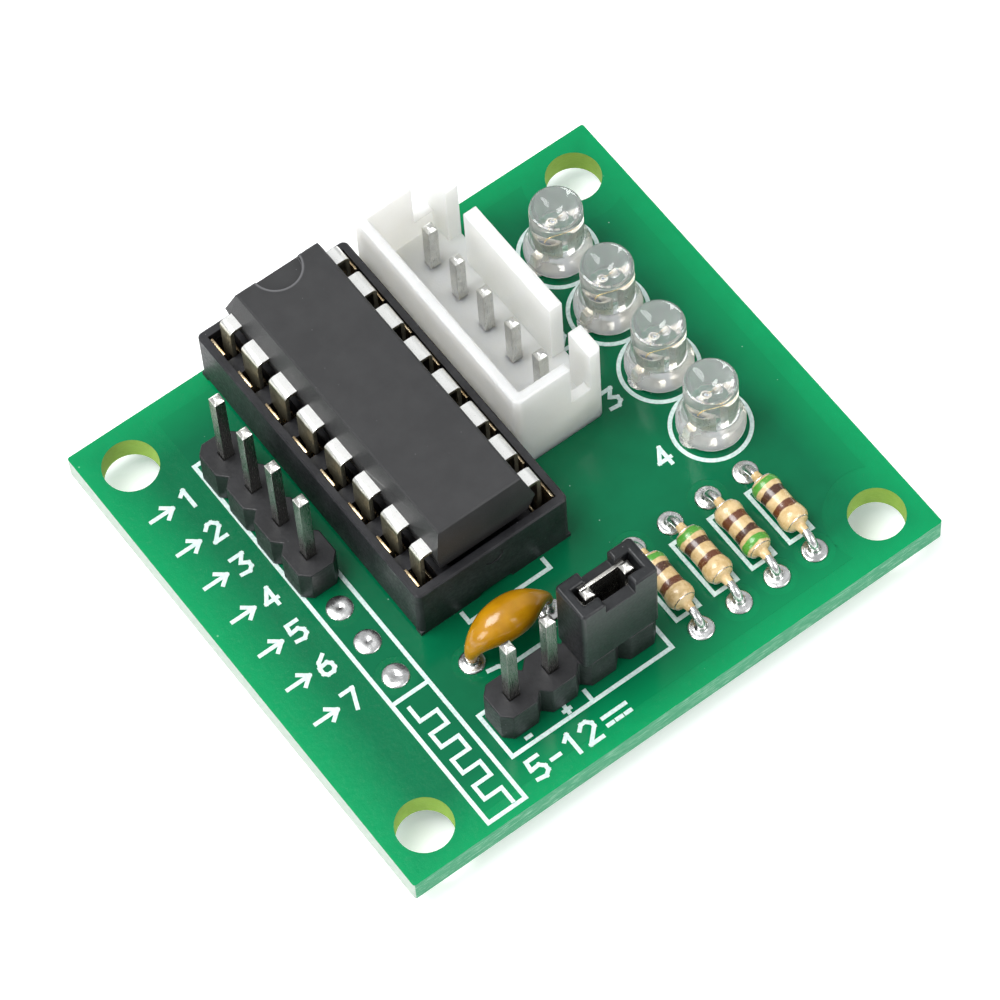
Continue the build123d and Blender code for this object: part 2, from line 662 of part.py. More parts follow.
motor_housing.part.label = "motor_housing"
export_step(motor_housing.part, "parts/motor_housing.step")

motor_pins = square_pins(motor_points, BOARD_TOP + MOTOR_PIN_TOP)
motor_pins.part.label = "motor_pins"
export_step(motor_pins.part, "parts/motor_pins.step")


# ------------------------------------------------------------------ LEDs
LED_Z0 = BOARD_TOP + LED_STAND
BRIDGE_Z0 = LED_Z0 + 0.35                        # each leg steps inward inside the flange
BRIDGE_Z1 = BRIDGE_Z0 + 0.4
CUP_TOP = BOARD_TOP + 2.6
POST_TOP = BOARD_TOP + 2.9
POST_IN = 0.35                                   # the bonding post's sides, from the middle
POST_OUT = 0.95
leg_in = PITCH / 2 - LED_LEG_W / 2
leg_out = PITCH / 2 + LED_LEG_W / 2
CUP_X = -0.5                                     # middle of the reflector cup
CUP_R = 0.5
CUP_H = 0.7
CUP_MOUTH_R = 0.375
CUP_DEPTH = 0.3
CUP_TAPER = 20.0
LED_DIE_W = 0.3
LED_DIE_T = 0.15
LED_BOND_RISE = 0.4
LENS_RIM = 0.1                                   # bevel round the top of the barrel


def led_leg(x, y, outline):
    """Flat leg cut from sheet, drawn in the plane of the two legs."""
    with BuildPart() as leg:
        with BuildSketch(Plane((x, y, 0), x_dir=(1, 0, 0), z_dir=(0, -1, 0))):
            with BuildLine():
                Polyline(*outline, close=True)
            make_face()
        extrude(amount=LED_LEG_W / 2, both=True)
    return leg


anode_outline = [
    (leg_in, 0),
    (leg_out, 0),
    (leg_out, BRIDGE_Z1),
    (POST_OUT, BRIDGE_Z1),
    (POST_OUT, POST_TOP),
    (POST_IN, POST_TOP),
    (POST_IN, BRIDGE_Z0),
    (leg_in, BRIDGE_Z0),
]
cathode_outline = [
    (-leg_in, 0),
    (-leg_out, 0),
    (-leg_out, BRIDGE_Z1),
    (CUP_X - CUP_R, BRIDGE_Z1),
    (CUP_X - CUP_R, CUP_TOP),
    (CUP_X + CUP_R, CUP_TOP),
    (CUP_X + CUP_R, BRIDGE_Z0),
    (-leg_in, BRIDGE_Z0),
]
led_dies = []
led_wires = []
led_legs = []

for number, (x, y) in enumerate(led_places, start=1):
    led_anode = led_leg(x, y, anode_outline)
    led_anode.part.label = f"led_{number}_anode"
    export_step(led_anode.part, f"parts/led_{number}_anode.step")

    with BuildPart() as led_cathode:
        add(led_leg(x, y, cathode_outline).part)
        with BuildSketch(Plane((x + CUP_X, y, CUP_TOP - CUP_H))):
            Circle(CUP_R)
        extrude(amount=CUP_H)
        with BuildSketch(Plane((x + CUP_X, y, CUP_TOP), z_dir=(0, 0, -1))):
            Circle(CUP_MOUTH_R)
        extrude(amount=CUP_DEPTH, taper=CUP_TAPER, mode=Mode.SUBTRACT)
    led_cathode.part.label = f"led_{number}_cathode"
    export_step(led_cathode.part, f"parts/led_{number}_cathode.step")

    with BuildPart() as die:
        with BuildSketch(Plane((x + CUP_X, y, CUP_TOP - CUP_DEPTH))):
            Rectangle(LED_DIE_W, LED_DIE_W)
        extrude(amount=LED_DIE_T)
    wire = bond_wire(
        Vector(x + CUP_X, y, CUP_TOP - CUP_DEPTH + LED_DIE_T),
        Vector(x + (POST_IN + POST_OUT) / 2, y, POST_TOP),
        LED_BOND_RISE,
    )
    led_dies.append(die)
    led_wires.append(wire)
    led_legs += [led_anode, led_cathode]

    with BuildPart() as led_lens:
        with BuildSketch(Plane((x, y, 0), x_dir=(1, 0, 0), z_dir=(0, -1, 0))):
            with BuildLine():
                Polyline(
                    (0, LED_Z0),
                    (LED_FLANGE_D / 2, LED_Z0),
                    (LED_FLANGE_D / 2, BOARD_TOP + LED_FLANGE_TOP),
                    (LED_D / 2, BOARD_TOP + LED_SHOULDER),
                    (LED_D / 2, BOARD_TOP + LED_TOP - LENS_RIM),
                    (LED_D / 2 - LENS_RIM, BOARD_TOP + LED_TOP),
                    (LED_CONE_D / 2, BOARD_TOP + LED_TOP),
                    (0, BOARD_TOP + LED_TOP - LED_CONE_DEPTH),
                    close=True,
                )
            make_face()
        revolve(axis=Axis((x, y, 0), (0, 0, 1)))
        for buried in (led_anode, led_cathode, die, wire):
            add(buried.part, mode=Mode.SUBTRACT)
    led_lens.part.label = f"led_{number}_lens"
    export_step(led_lens.part, f"parts/led_{number}_lens.step")

with BuildPart() as led_chips:
    for die in led_dies:
        add(die.part)
led_chips.part.label = "led_chips"
export_step(led_chips.part, "parts/led_chips.step")

with BuildPart() as led_bond_wires:
    for wire in led_wires:
        add(wire.part)
led_bond_wires.part.label = "led_bond_wires"
export_step(led_bond_wires.part, "parts/led_bond_wires.step")


# ------------------------------------------------------------------ resistors
RES_Z = BOARD_TOP + RES_AXIS_H
RES_BEND_R = 0.8
LACQUER_T = 0.12                                 # lacquer on a lead where it leaves the body
END_ROUND = 0.5                                  # each end curves in over this length
END_BELLY_X = 0.14                               # a middle point of that curve
END_BELLY_R = 0.2
BULGE_L = 0.85                                   # the thick end keeps its width this far in
TAPER_L = 0.3
half_body = RES_BODY_L / 2
cap_end = half_body - 0.2                        # outside face of an end cap, from the middle
core_end = cap_end - CAP_T
res_leads = []

for number, (x, y) in enumerate(resistor_places, start=1):
    axis = Axis((x, y, RES_Z), (0, 1, 0))
    along = Plane((x, y, RES_Z), x_dir=(0, 1, 0), z_dir=(1, 0, 0))

    with BuildPart() as resistor_core:
        with BuildSketch(Plane((x, y - core_end, RES_Z), z_dir=(0, 1, 0))):
            Circle(CORE_D / 2)
        extrude(amount=2 * core_end)
    resistor_core.part.label = f"resistor_{number}_core"
    export_step(resistor_core.part, f"parts/resistor_{number}_core.step")

    with BuildPart() as resistor_leads:
        for side in (-1, 1):
            foot = Vector(x, y + side * RES_SPAN / 2, 0)
            bend = Vector(foot.X, foot.Y, RES_Z)
            inner = Vector(x, y + side * (cap_end - CAP_T / 2), RES_Z)
            with BuildLine() as route:
                FilletPolyline(foot, bend, inner, radius=RES_BEND_R)
            with BuildSketch(Plane(foot)):
                Circle(WIRE_D / 2)
            sweep(path=route.line)
            with BuildSketch(Plane((x, y + side * cap_end, RES_Z), z_dir=(0, -side, 0))):
                Circle(CORE_D / 2 + CAP_T)
            extrude(amount=CAP_LEN)
        add(resistor_core.part, mode=Mode.SUBTRACT)
    resistor_leads.part.label = f"resistor_{number}_leads"
    export_step(resistor_leads.part, f"parts/resistor_{number}_leads.step")
    res_leads.append(resistor_leads)

    with BuildPart() as resistor_coating:
        with BuildSketch(along):
            with BuildLine():
                right_end = ThreePointArc(
                    (half_body, WIRE_D / 2 + LACQUER_T),
                    (half_body - END_BELLY_X, RES_END_D / 2 - END_BELLY_R),
                    (half_body - END_ROUND, RES_END_D / 2),
                )
                left_end = ThreePointArc(
                    (-half_body + END_ROUND, RES_END_D / 2),
                    (-half_body + END_BELLY_X, RES_END_D / 2 - END_BELLY_R),
                    (-half_body, WIRE_D / 2 + LACQUER_T),
                )
                Polyline(
                    right_end @ 1,
                    (half_body - BULGE_L, RES_END_D / 2),
                    (half_body - BULGE_L - TAPER_L, RES_WAIST_D / 2),
                    (-half_body + BULGE_L + TAPER_L, RES_WAIST_D / 2),
                    (-half_body + BULGE_L, RES_END_D / 2),
                    left_end @ 0,
                )
                Polyline(left_end @ 1, (-half_body, 0), (half_body, 0), right_end @ 0)
            make_face()
        revolve(axis=axis)
        add(resistor_core.part, mode=Mode.SUBTRACT)
        add(resistor_leads.part, mode=Mode.SUBTRACT)
    resistor_coating.part.label = f"resistor_{number}_coating"
    export_step(resistor_coating.part, f"parts/resistor_{number}_coating.step")


# ------------------------------------------------------------------ capacitor
CAPACITOR_Z = BOARD_TOP + CAPACITOR_H
CERAMIC_L = 2.0
CERAMIC_W = 1.25
CERAMIC_T = 1.0
CAPACITOR_BEND_R = 1.1
COAT_FOOT = 0.35                                 # the coating ends this far above the board

with BuildPart() as capacitor_ceramic:
    with BuildSketch(Plane((CAPACITOR_X, CAPACITOR_Y, CAPACITOR_Z - CERAMIC_T / 2))):
        Rectangle(CERAMIC_L, CERAMIC_W)
    extrude(amount=CERAMIC_T)
capacitor_ceramic.part.label = "capacitor_ceramic"
export_step(capacitor_ceramic.part, "parts/capacitor_ceramic.step")


def capacitor_leg(side, radius, start_z):
    """Round bar along one lead's path, from a height down on the board to the ceramic's end."""
    foot_x = CAPACITOR_X + side * CAPACITOR_SPAN / 2
    end_x = CAPACITOR_X + side * CERAMIC_L / 2
    with BuildPart() as leg:
        with BuildLine() as route:
            FilletPolyline(
                (foot_x, CAPACITOR_Y, start_z),
                (foot_x, CAPACITOR_Y, CAPACITOR_Z),
                (end_x, CAPACITOR_Y, CAPACITOR_Z),
                radius=CAPACITOR_BEND_R,
            )
        with BuildSketch(Plane((foot_x, CAPACITOR_Y, start_z))):
            Circle(radius)
        sweep(path=route.line)
    return leg


with BuildPart() as capacitor_leads:
    for side in (-1, 1):
        add(capacitor_leg(side, WIRE_D / 2, 0).part)
capacitor_leads.part.label = "capacitor_leads"
export_step(capacitor_leads.part, "parts/capacitor_leads.step")

with BuildPart() as capacitor_coating:
    with BuildSketch(
        Plane((CAPACITOR_X, CAPACITOR_Y, CAPACITOR_Z), x_dir=(1, 0, 0), z_dir=(0, -1, 0))
    ):
        Ellipse(CAPACITOR_RX, CAPACITOR_R)
        Rectangle(
            2 * CAPACITOR_RX,
            CAPACITOR_R,
            align=(Align.CENTER, Align.MAX),
            mode=Mode.SUBTRACT,
        )
    revolve(axis=Axis((CAPACITOR_X, CAPACITOR_Y, CAPACITOR_Z), (1, 0, 0)))
    for side in (-1, 1):
        add(capacitor_leg(side, WIRE_D / 2 + CAPACITOR_COAT, BOARD_TOP + COAT_FOOT).part)
    add(capacitor_ceramic.part, mode=Mode.SUBTRACT)
    add(capacitor_leads.part, mode=Mode.SUBTRACT)
capacitor_coating.part.label = "capacitor_coating"
export_step(capacitor_coating.part, "parts/capacitor_coating.step")


# ------------------------------------------------------------------ solder
CONE_H = 0.95                                    # fillet on the underside
CONE_BELLY = 0.28                                # share of its spread reached at the middle point
CONE_BELLY_H = 0.45                              # share of its height there
PAD_SHOW = 0.03                                  # rim of each pad left bare
TAIL_NECK_D = hypot(TAIL_W, TAIL_T) + 0.1        # solder where each kind of lead leaves the cone
PIN_NECK_D = PIN_W * sqrt(2) + 0.095
LEG_NECK_D = LED_LEG_W * sqrt(2) + 0.085
WIRE_NECK_D = WIRE_D + 0.12
PLUG_NECK_D = 0.3
PLUG_CROWN = 0.22                                # solder standing above the pads
RES_CROWN = 0.35
CAPACITOR_CROWN = 0.3


def solder_joints(joint_points, hole_d, pad_d, neck_d, crown, leads):
    """Solder that fills each plated hole, with a cone below and a crown of that height on top.

    The leads are cut out of it, so it fits them exactly.
    """
    pad_r = pad_d / 2 - PAD_SHOW
    low = BOARD_BOTTOM - PAD_T
    high = BOARD_TOP + PAD_T
    if crown:
        sphere_r = (pad_r**2 + crown**2) / (2 * crown)
        shoulder = high + crown - sphere_r + sqrt(sphere_r**2 - pad_r**2 / 4)
    with BuildPart() as joints:
        for x, y in joint_points:
            with BuildSketch(Plane((x, y, 0), x_dir=(1, 0, 0), z_dir=(0, -1, 0))):
                with BuildLine():
                    cone = ThreePointArc(
                        (neck_d / 2, low - CONE_H),
                        (neck_d / 2 + CONE_BELLY * (pad_r - neck_d / 2), low - CONE_BELLY_H * CONE_H),
                        (pad_r, low),
                    )
                    Polyline((0, low - CONE_H), cone @ 0)
                    Polyline(cone @ 1, (hole_d / 2, low), (hole_d / 2, high))
                    if crown:
                        Line((hole_d / 2, high), (pad_r, high))
                        ThreePointArc((pad_r, high), (pad_r / 2, shoulder), (0, high + crown))
                        Line((0, high + crown), (0, low - CONE_H))
                    else:
                        Polyline((hole_d / 2, high), (0, high), (0, low - CONE_H))
                make_face()
            revolve(axis=Axis((x, y, 0), (0, 0, 1)))
        for lead in leads:
            add(lead.part, mode=Mode.SUBTRACT)
    return joints


solder_socket = solder_joints(
    socket_points, LEAD_HOLE_D, CONTACT_PAD_D, TAIL_NECK_D, 0, [socket_contacts]
)
solder_socket.part.label = "solder_socket"
export_step(solder_socket.part, "parts/solder_socket.step")

solder_motor = solder_joints(motor_points, PIN_HOLE_D, PIN_PAD_D, PIN_NECK_D, 0, [motor_pins])
solder_motor.part.label = "solder_motor"
export_step(solder_motor.part, "parts/solder_motor.step")

solder_input = solder_joints(input_points, PIN_HOLE_D, PIN_PAD_D, PIN_NECK_D, 0, [input_pins])
solder_input.part.label = "solder_input"
export_step(solder_input.part, "parts/solder_input.step")

solder_input_spare = solder_joints(
    input_empty, PIN_HOLE_D, PIN_PAD_D, PLUG_NECK_D, PLUG_CROWN, []
)
solder_input_spare.part.label = "solder_input_spare"
export_step(solder_input_spare.part, "parts/solder_input_spare.step")

solder_power = solder_joints(power_points, PIN_HOLE_D, PIN_PAD_D, PIN_NECK_D, 0, [power_pins])
solder_power.part.label = "solder_power"
export_step(solder_power.part, "parts/solder_power.step")

solder_leds = solder_joints(led_points, LEAD_HOLE_D, LEAD_PAD_D, LEG_NECK_D, 0, led_legs)
solder_leds.part.label = "solder_leds"
export_step(solder_leds.part, "parts/solder_leds.step")

solder_resistors = solder_joints(
    resistor_points, LEAD_HOLE_D, LEAD_PAD_D, WIRE_NECK_D, RES_CROWN, res_leads
)
solder_resistors.part.label = "solder_resistors"
export_step(solder_resistors.part, "parts/solder_resistors.step")

solder_capacitor = solder_joints(
    capacitor_points, LEAD_HOLE_D, LEAD_PAD_D, WIRE_NECK_D, CAPACITOR_CROWN, [capacitor_leads]
)
solder_capacitor.part.label = "solder_capacitor"
export_step(solder_capacitor.part, "parts/solder_capacitor.step")


# ------------------------------------------------------------------ legend
INK_W = 0.23
FRAME_W = 0.24
DIGIT_H = 1.15
DIGIT_W = 0.62                                   # share of its height
DIGIT_GAP = 0.36
SIGN_H = 0.6
RATING_H = 1.25
RING_GAP = 0.18                                  # LED flange to its ring
ARROW_L = 1.4
ARROW_HEAD_L = 0.5
ARROW_HEAD_W = 0.4

# Strokes of each mark in a box one unit high
digit_strokes = {
    "1": [[(0.1, 0.8), (0.35, 1), (0.35, 0)]],
    "2": [[(0, 0.82), (0.2, 1), (0.42, 1), (0.62, 0.8), (0.62, 0.62), (0, 0), (0.62, 0)]],
    "3": [[(0, 1), (0.62, 1), (0.3, 0.6), (0.62, 0.4), (0.62, 0.18), (0.42, 0), (0, 0.05)]],
    "4": [[(0.48, 0), (0.48, 1), (0, 0.3), (0.62, 0.3)]],
    "5": [[(0.6, 1), (0.05, 1), (0, 0.56), (0.42, 0.6), (0.62, 0.4), (0.62, 0.18), (0.4, 0), (0, 0.06)]],
    "6": [[(0.5, 1), (0.15, 0.75), (0, 0.4), (0, 0.15), (0.16, 0), (0.46, 0), (0.62, 0.16),
           (0.62, 0.4), (0.46, 0.56), (0.02, 0.5)]],
    "7": [[(0, 1), (0.62, 1), (0.22, 0)]],
    "-": [[(0.1, 0.45), (0.5, 0.45)]],
    "+": [[(0, 0.5), (0.6, 0.5)], [(0.3, 0.2), (0.3, 0.8)]],
}


def ink_lines(points, width):
    """Bars of ink along a chain of points, each run on by half a width so that corners fill."""
    for start, end in zip(points, points[1:]):
        run = Vector(*end) - Vector(*start)
        middle = (Vector(*end) + Vector(*start)) / 2
        with Locations(Location(middle, (0, 0, degrees(atan2(run.Y, run.X))))):
            Rectangle(run.length + width, width)


def ink_text(text, left, bottom, height):
    """A row of digits and signs, starting at its lower left corner."""
    for place, mark in enumerate(text):
        x0 = left + place * (DIGIT_W * height + DIGIT_GAP)
        for stroke in digit_strokes[mark]:
            ink_lines([(x0 + height * u, bottom + height * v) for u, v in stroke], INK_W)


def ink_box(x0, x1, y0, y1):
    """Closed rectangle of ink."""
    ink_lines([(x0, y0), (x1, y0), (x1, y1), (x0, y1), (x0, y0)], FRAME_W)


with BuildSketch() as led_ring:
    Circle(LED_FLANGE_D / 2 + RING_GAP + FRAME_W)
    Circle(LED_FLANGE_D / 2 + RING_GAP, mode=Mode.SUBTRACT)

# Sides of the printed outlines, each from the part that it goes round
input_frame_x = HEADER_W / 2 - 0.04
input_frame_back = INPUT_Y1 + 1.65
input_frame_front = FRONT + 0.55
input_divider = input_places[-1][1] - 1.3
input_label_x = INPUT_X - 2.95
input_label_lift = 0.27                          # each number sits a little behind its pin
arrow_tip = INPUT_X - 3.6
pulse_x = 0.55
pulse_step = 0.95
pulse_count = 8
pulse_back = input_divider - 0.7
socket_ink_left = SOCKET_X - 2.45
socket_ink_right = SOCKET_X + 2.9
socket_ink_back = SOCKET_Y - SOCKET_L / 2 - 0.25
socket_ink_front = socket_ink_back - 0.63
capacitor_ink_w = 1.37
capacitor_ink_bends = [(1.1, capacitor_ink_w), (1.6, 1.05), (2.15, 0.95)]
led_label_x = LED_X - 3.65
res_ink_front = 1.84
res_ink_back = 1.93
power_left = POWER_X1 - 1.48
power_right = power_points[-1][0] + 1.4
power_front = POWER_Y - 1.95
power_back = POWER_Y + 1.04
power_tick_x = POWER_X1 + 1.5 * PITCH
power_tick_back = POWER_Y - 1.2
rating_x = POWER_X1 - 1.2
rating_y = power_front - 1.95
supply_x = POWER_X1 + 3.6                        # line over dashes: direct current
supply_y = power_front - 1.1
supply_l = 1.45
dash_gap = 0.5                                   # dashes below the line

with BuildPart() as legend_ink:
    with BuildSketch(Plane.XY.offset(BOARD_TOP)):
        # Input header: a long frame, a step-pulse symbol in its front part, numbered inputs
        ink_box(
            INPUT_X - input_frame_x, INPUT_X + input_frame_x, input_frame_front, input_frame_back
        )
        ink_lines(
            [(INPUT_X - input_frame_x, input_divider), (INPUT_X + input_frame_x, input_divider)],
            FRAME_W,
        )
        pulses = []
        for k in range(pulse_count):
            side = pulse_x if k % 2 else -pulse_x
            pulse_y = pulse_back - pulse_step * k
            pulses += [(INPUT_X + side, pulse_y), (INPUT_X + side, pulse_y - pulse_step)]
        ink_lines(pulses, INK_W)
        for number, (x, y) in enumerate(input_places, start=1):
            label_y = y + input_label_lift
            head_x = arrow_tip - ARROW_HEAD_L
            ink_text(str(number), input_label_x, label_y - DIGIT_H / 2, DIGIT_H)
            ink_lines([(arrow_tip - ARROW_L, label_y), (arrow_tip, label_y)], INK_W)
            for side in (-1, 1):
                ink_lines([(head_x, label_y + side * ARROW_HEAD_W), (arrow_tip, label_y)], INK_W)

        # Chip socket: the front end of its outline
        ink_lines(
            [
                (socket_ink_left, socket_ink_back),
                (socket_ink_left, socket_ink_front),
                (socket_ink_right, socket_ink_front),
                (socket_ink_right, socket_ink_back),
            ],
            FRAME_W,
        )

        # Capacitor: rounded outline, broken at the pads
        for end in (-1, 1):
            for side in (-1, 1):
                bends = [
                    (CAPACITOR_X + end * along_x, CAPACITOR_Y + side * out_y)
                    for along_x, out_y in capacitor_ink_bends
                ]
                ink_lines([(CAPACITOR_X, bends[0][1])] + bends, FRAME_W)

        # LEDs: a ring round each, numbered
        with Locations(*led_places):
            add(led_ring.sketch)
        for number, (x, y) in enumerate(led_places, start=1):
            ink_text(str(number), led_label_x, y - DIGIT_H / 2, DIGIT_H)

        # Resistors: an outline under each body
        for x, y in resistor_places:
            ink_box(
                x - RES_WAIST_D / 2, x + RES_WAIST_D / 2, y - res_ink_front, y + res_ink_back
            )

        # Power header: a frame, a tick between supply and jumper, signs, and the supply range
        ink_box(power_left, power_right, power_front, power_back)
        ink_lines([(power_tick_x, power_front), (power_tick_x, power_tick_back)], FRAME_W)
        ink_text("-", POWER_X1 - SIGN_H / 2, power_front + 0.15, SIGN_H)
        ink_text("+", POWER_X1 + PITCH - SIGN_H / 2, power_front + 0.15, SIGN_H)
        ink_text("5-12", rating_x, rating_y, RATING_H)
        ink_lines([(supply_x, supply_y), (supply_x + supply_l, supply_y)], INK_W)
        for dash in range(3):
            dash_x = supply_x + supply_l * 0.4 * dash
            dash_y = supply_y - dash_gap
            ink_lines([(dash_x, dash_y), (dash_x + supply_l * 0.2, dash_y)], INK_W)
    extrude(amount=INK_T)
legend_ink.part.label = "legend_ink"
export_step(legend_ink.part, "parts/legend_ink.step")
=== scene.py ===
# %% [markdown]
# # A stepper driver module
# This lesson dresses a small circuit board for its portrait. The shapes come from a CAD model, in
# metres, already in place. Blender adds what the CAD model leaves out: rounded moulded edges, the
# copper under the green coating, clear plastic, solder, dust and light.

# %% Load the model
import bpy
import bmesh
import json
import math
from mathutils import Matrix, Vector, noise


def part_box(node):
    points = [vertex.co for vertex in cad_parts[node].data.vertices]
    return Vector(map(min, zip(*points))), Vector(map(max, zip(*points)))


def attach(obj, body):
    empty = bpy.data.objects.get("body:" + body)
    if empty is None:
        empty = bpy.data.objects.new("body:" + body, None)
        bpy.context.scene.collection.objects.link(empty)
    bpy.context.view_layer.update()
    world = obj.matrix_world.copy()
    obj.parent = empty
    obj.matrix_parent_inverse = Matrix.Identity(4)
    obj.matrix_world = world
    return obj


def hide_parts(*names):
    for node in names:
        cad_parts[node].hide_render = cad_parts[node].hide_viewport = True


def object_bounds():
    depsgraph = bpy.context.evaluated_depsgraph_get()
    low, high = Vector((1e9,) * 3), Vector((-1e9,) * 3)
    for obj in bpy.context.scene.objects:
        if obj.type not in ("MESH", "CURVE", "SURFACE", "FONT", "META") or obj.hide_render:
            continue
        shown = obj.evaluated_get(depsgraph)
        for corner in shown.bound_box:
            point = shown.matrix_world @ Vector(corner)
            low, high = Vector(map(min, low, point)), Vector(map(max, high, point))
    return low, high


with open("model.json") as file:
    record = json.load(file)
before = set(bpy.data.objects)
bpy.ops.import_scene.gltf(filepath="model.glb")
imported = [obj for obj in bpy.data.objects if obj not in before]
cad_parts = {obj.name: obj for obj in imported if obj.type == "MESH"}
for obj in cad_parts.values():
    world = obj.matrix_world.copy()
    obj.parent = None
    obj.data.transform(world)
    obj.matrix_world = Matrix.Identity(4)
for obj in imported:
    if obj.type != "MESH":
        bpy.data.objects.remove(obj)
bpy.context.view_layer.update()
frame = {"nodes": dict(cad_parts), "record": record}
MM = 0.001
print("CAD pieces:", len(frame["nodes"]))

# %% [markdown]
# ## Measuring from the model
# Every place is read from the boxes of the CAD pieces, so that a changed size moves the looks too.

# %% The main levels and places
board_low, board_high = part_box("circuit_board")
board_top = board_high.z
board_bottom = board_low.z
mount_pattern = next(m for m in frame["record"]["mounts"] if m["name"] == "mount_holes")
mount_x = mount_pattern["dims"]["spacing_x_mm"] * MM / 2
mount_y = mount_pattern["dims"]["spacing_y_mm"] * MM / 2
mount_r = mount_pattern["dims"]["hole_r_mm"] * MM


def middle(node):
    """Centre of a CAD piece's box."""
    low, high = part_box(node)
    return (low + high) / 2


def islands(node):
    """Centre and size, seen from above, of every separate solid in a CAD piece."""
    mesh = bmesh.new()
    mesh.from_mesh(frame["nodes"][node].data)
    bmesh.ops.remove_doubles(mesh, verts=mesh.verts, dist=1e-7)
    left = set(mesh.verts)
    found = []
    while left:
        reach = [left.pop()]
        group = []
        while reach:
            vert = reach.pop()
            group.append(vert.co.copy())
            for edge in vert.link_edges:
                other = edge.other_vert(vert)
                if other in left:
                    left.remove(other)
                    reach.append(other)
        xs = [co.x for co in group]
        ys = [co.y for co in group]
        centre = ((min(xs) + max(xs)) / 2, (min(ys) + max(ys)) / 2)
        found.append((round(centre[0], 6), round(centre[1], 6), max(xs) - min(xs)))
    mesh.free()
    return sorted(found)


pads = islands("plated_holes")
print("plated holes:", len(pads))

# %% [markdown]
# ## Small helpers for finishes
# A finish is a Principled shader fed by noise. Its noise is placed by object coordinates, and
# because the model is in metres, the helper turns them into millimetres first. A noise of scale 3
# then has about three lumps to the millimetre.


# %% Start a finish
class Finish:
    """A Principled material and short ways to feed it."""

    def __init__(self, name, roughness=0.4, metallic=0.0):
        self.material = bpy.data.materials.new(name)
        self.material.use_nodes = True
        self.nodes = self.material.node_tree.nodes
        self.links = self.material.node_tree.links
        self.shader = self.nodes["Principled BSDF"]
        self.shader.inputs["Roughness"].default_value = roughness
        self.shader.inputs["Metallic"].default_value = metallic
        where = self.nodes.new("ShaderNodeTexCoord")
        scale = self.nodes.new("ShaderNodeVectorMath")
        scale.operation = "SCALE"
        scale.inputs["Scale"].default_value = 1 / MM
        self.links.new(where.outputs["Object"], scale.inputs[0])
        self.place = scale.outputs[0]

    def stretch(self, x, y, z):
        """The place in millimetres, stretched for streaks."""
        node = self.nodes.new("ShaderNodeVectorMath")
        node.operation = "MULTIPLY"
        node.inputs[1].default_value = (x, y, z)
        self.links.new(self.place, node.inputs[0])
        return node.outputs[0]

    def noise(self, scale, detail=3.0, roughness=0.5, place=None):
        node = self.nodes.new("ShaderNodeTexNoise")
        node.inputs["Scale"].default_value = scale
        node.inputs["Detail"].default_value = detail
        node.inputs["Roughness"].default_value = roughness
        self.links.new(place or self.place, node.inputs["Vector"])
        return node.outputs["Fac"]

    def specks(self, scale, size):
        """1 inside small round specks, 0 elsewhere."""
        node = self.nodes.new("ShaderNodeTexVoronoi")
        node.inputs["Scale"].default_value = scale
        self.links.new(self.place, node.inputs["Vector"])
        return self.band(node.outputs["Distance"], size, size * 0.5)

    def band(self, value, low, high, to_low=0.0, to_high=1.0):
        """Stretch a value between two limits onto another range."""
        node = self.nodes.new("ShaderNodeMapRange")
        node.inputs["From Min"].default_value = low
        node.inputs["From Max"].default_value = high
        node.inputs["To Min"].default_value = to_low
        node.inputs["To Max"].default_value = to_high
        self.links.new(value, node.inputs["Value"])
        return node.outputs["Result"]

    def math(self, operation, a, b=None):
        node = self.nodes.new("ShaderNodeMath")
        node.operation = operation
        for slot, value in zip(node.inputs, (a, b)):
            if isinstance(value, (int, float)):
                slot.default_value = value
            elif value is not None:
                self.links.new(value, slot)
        return node.outputs[0]

    def axis(self, letter):
        """One coordinate of the place, in millimetres."""
        node = self.nodes.new("ShaderNodeSeparateXYZ")
        self.links.new(self.place, node.inputs[0])
        return node.outputs[letter]

    def normal(self, letter):
        """One coordinate of the surface's direction."""
        where = self.nodes.new("ShaderNodeTexCoord")
        node = self.nodes.new("ShaderNodeSeparateXYZ")
        self.links.new(where.outputs["Normal"], node.inputs[0])
        return node.outputs[letter]

    def mix(self, factor, a, b):
        """Blend two colours, each a triple or a socket."""
        node = self.nodes.new("ShaderNodeMix")
        node.data_type = "RGBA"
        if isinstance(factor, (int, float)):
            node.inputs["Factor"].default_value = factor
        else:
            self.links.new(factor, node.inputs["Factor"])
        for name, value in ((6, a), (7, b)):
            if isinstance(value, tuple):
                node.inputs[name].default_value = (*value, 1.0)
            else:
                self.links.new(value, node.inputs[name])
        return node.outputs[2]

    def colour(self, value):
        self.links.new(value, self.shader.inputs["Base Color"])

    def roughness(self, value):
        self.links.new(value, self.shader.inputs["Roughness"])

    def bump(self, height, depth_mm, strength=1.0):
        """Relief of that depth, added over any earlier relief."""
        node = self.nodes.new("ShaderNodeBump")
        node.inputs["Distance"].default_value = depth_mm * MM
        node.inputs["Strength"].default_value = strength
        self.links.new(height, node.inputs["Height"])
        earlier = self.shader.inputs["Normal"].links
        if earlier:
            self.links.new(earlier[0].from_socket, node.inputs["Normal"])
        self.links.new(node.outputs["Normal"], self.shader.inputs["Normal"])

# %% [markdown]
# A piece has one material slot for each finish. A CAD piece that keeps its shape is looked up by
# its node's name, and only its material changes.

# %% Put a piece in the scene and give it a finish
def link_mesh(name, mesh):
    """A new object in the scene for a mesh."""
    data = bpy.data.meshes.new(name)
    mesh.to_mesh(data)
    mesh.free()
    piece = bpy.data.objects.new(name, data)
    bpy.context.scene.collection.objects.link(piece)
    return piece


def dress(piece, *finishes):
    """Put materials on a piece, one for each of its slots."""
    piece.data.materials.clear()
    for finish in finishes:
        piece.data.materials.append(finish.material)


def dress_node(node, finish):
    """Put one material on a CAD piece that stays as it is."""
    dress(frame["nodes"][node], finish)

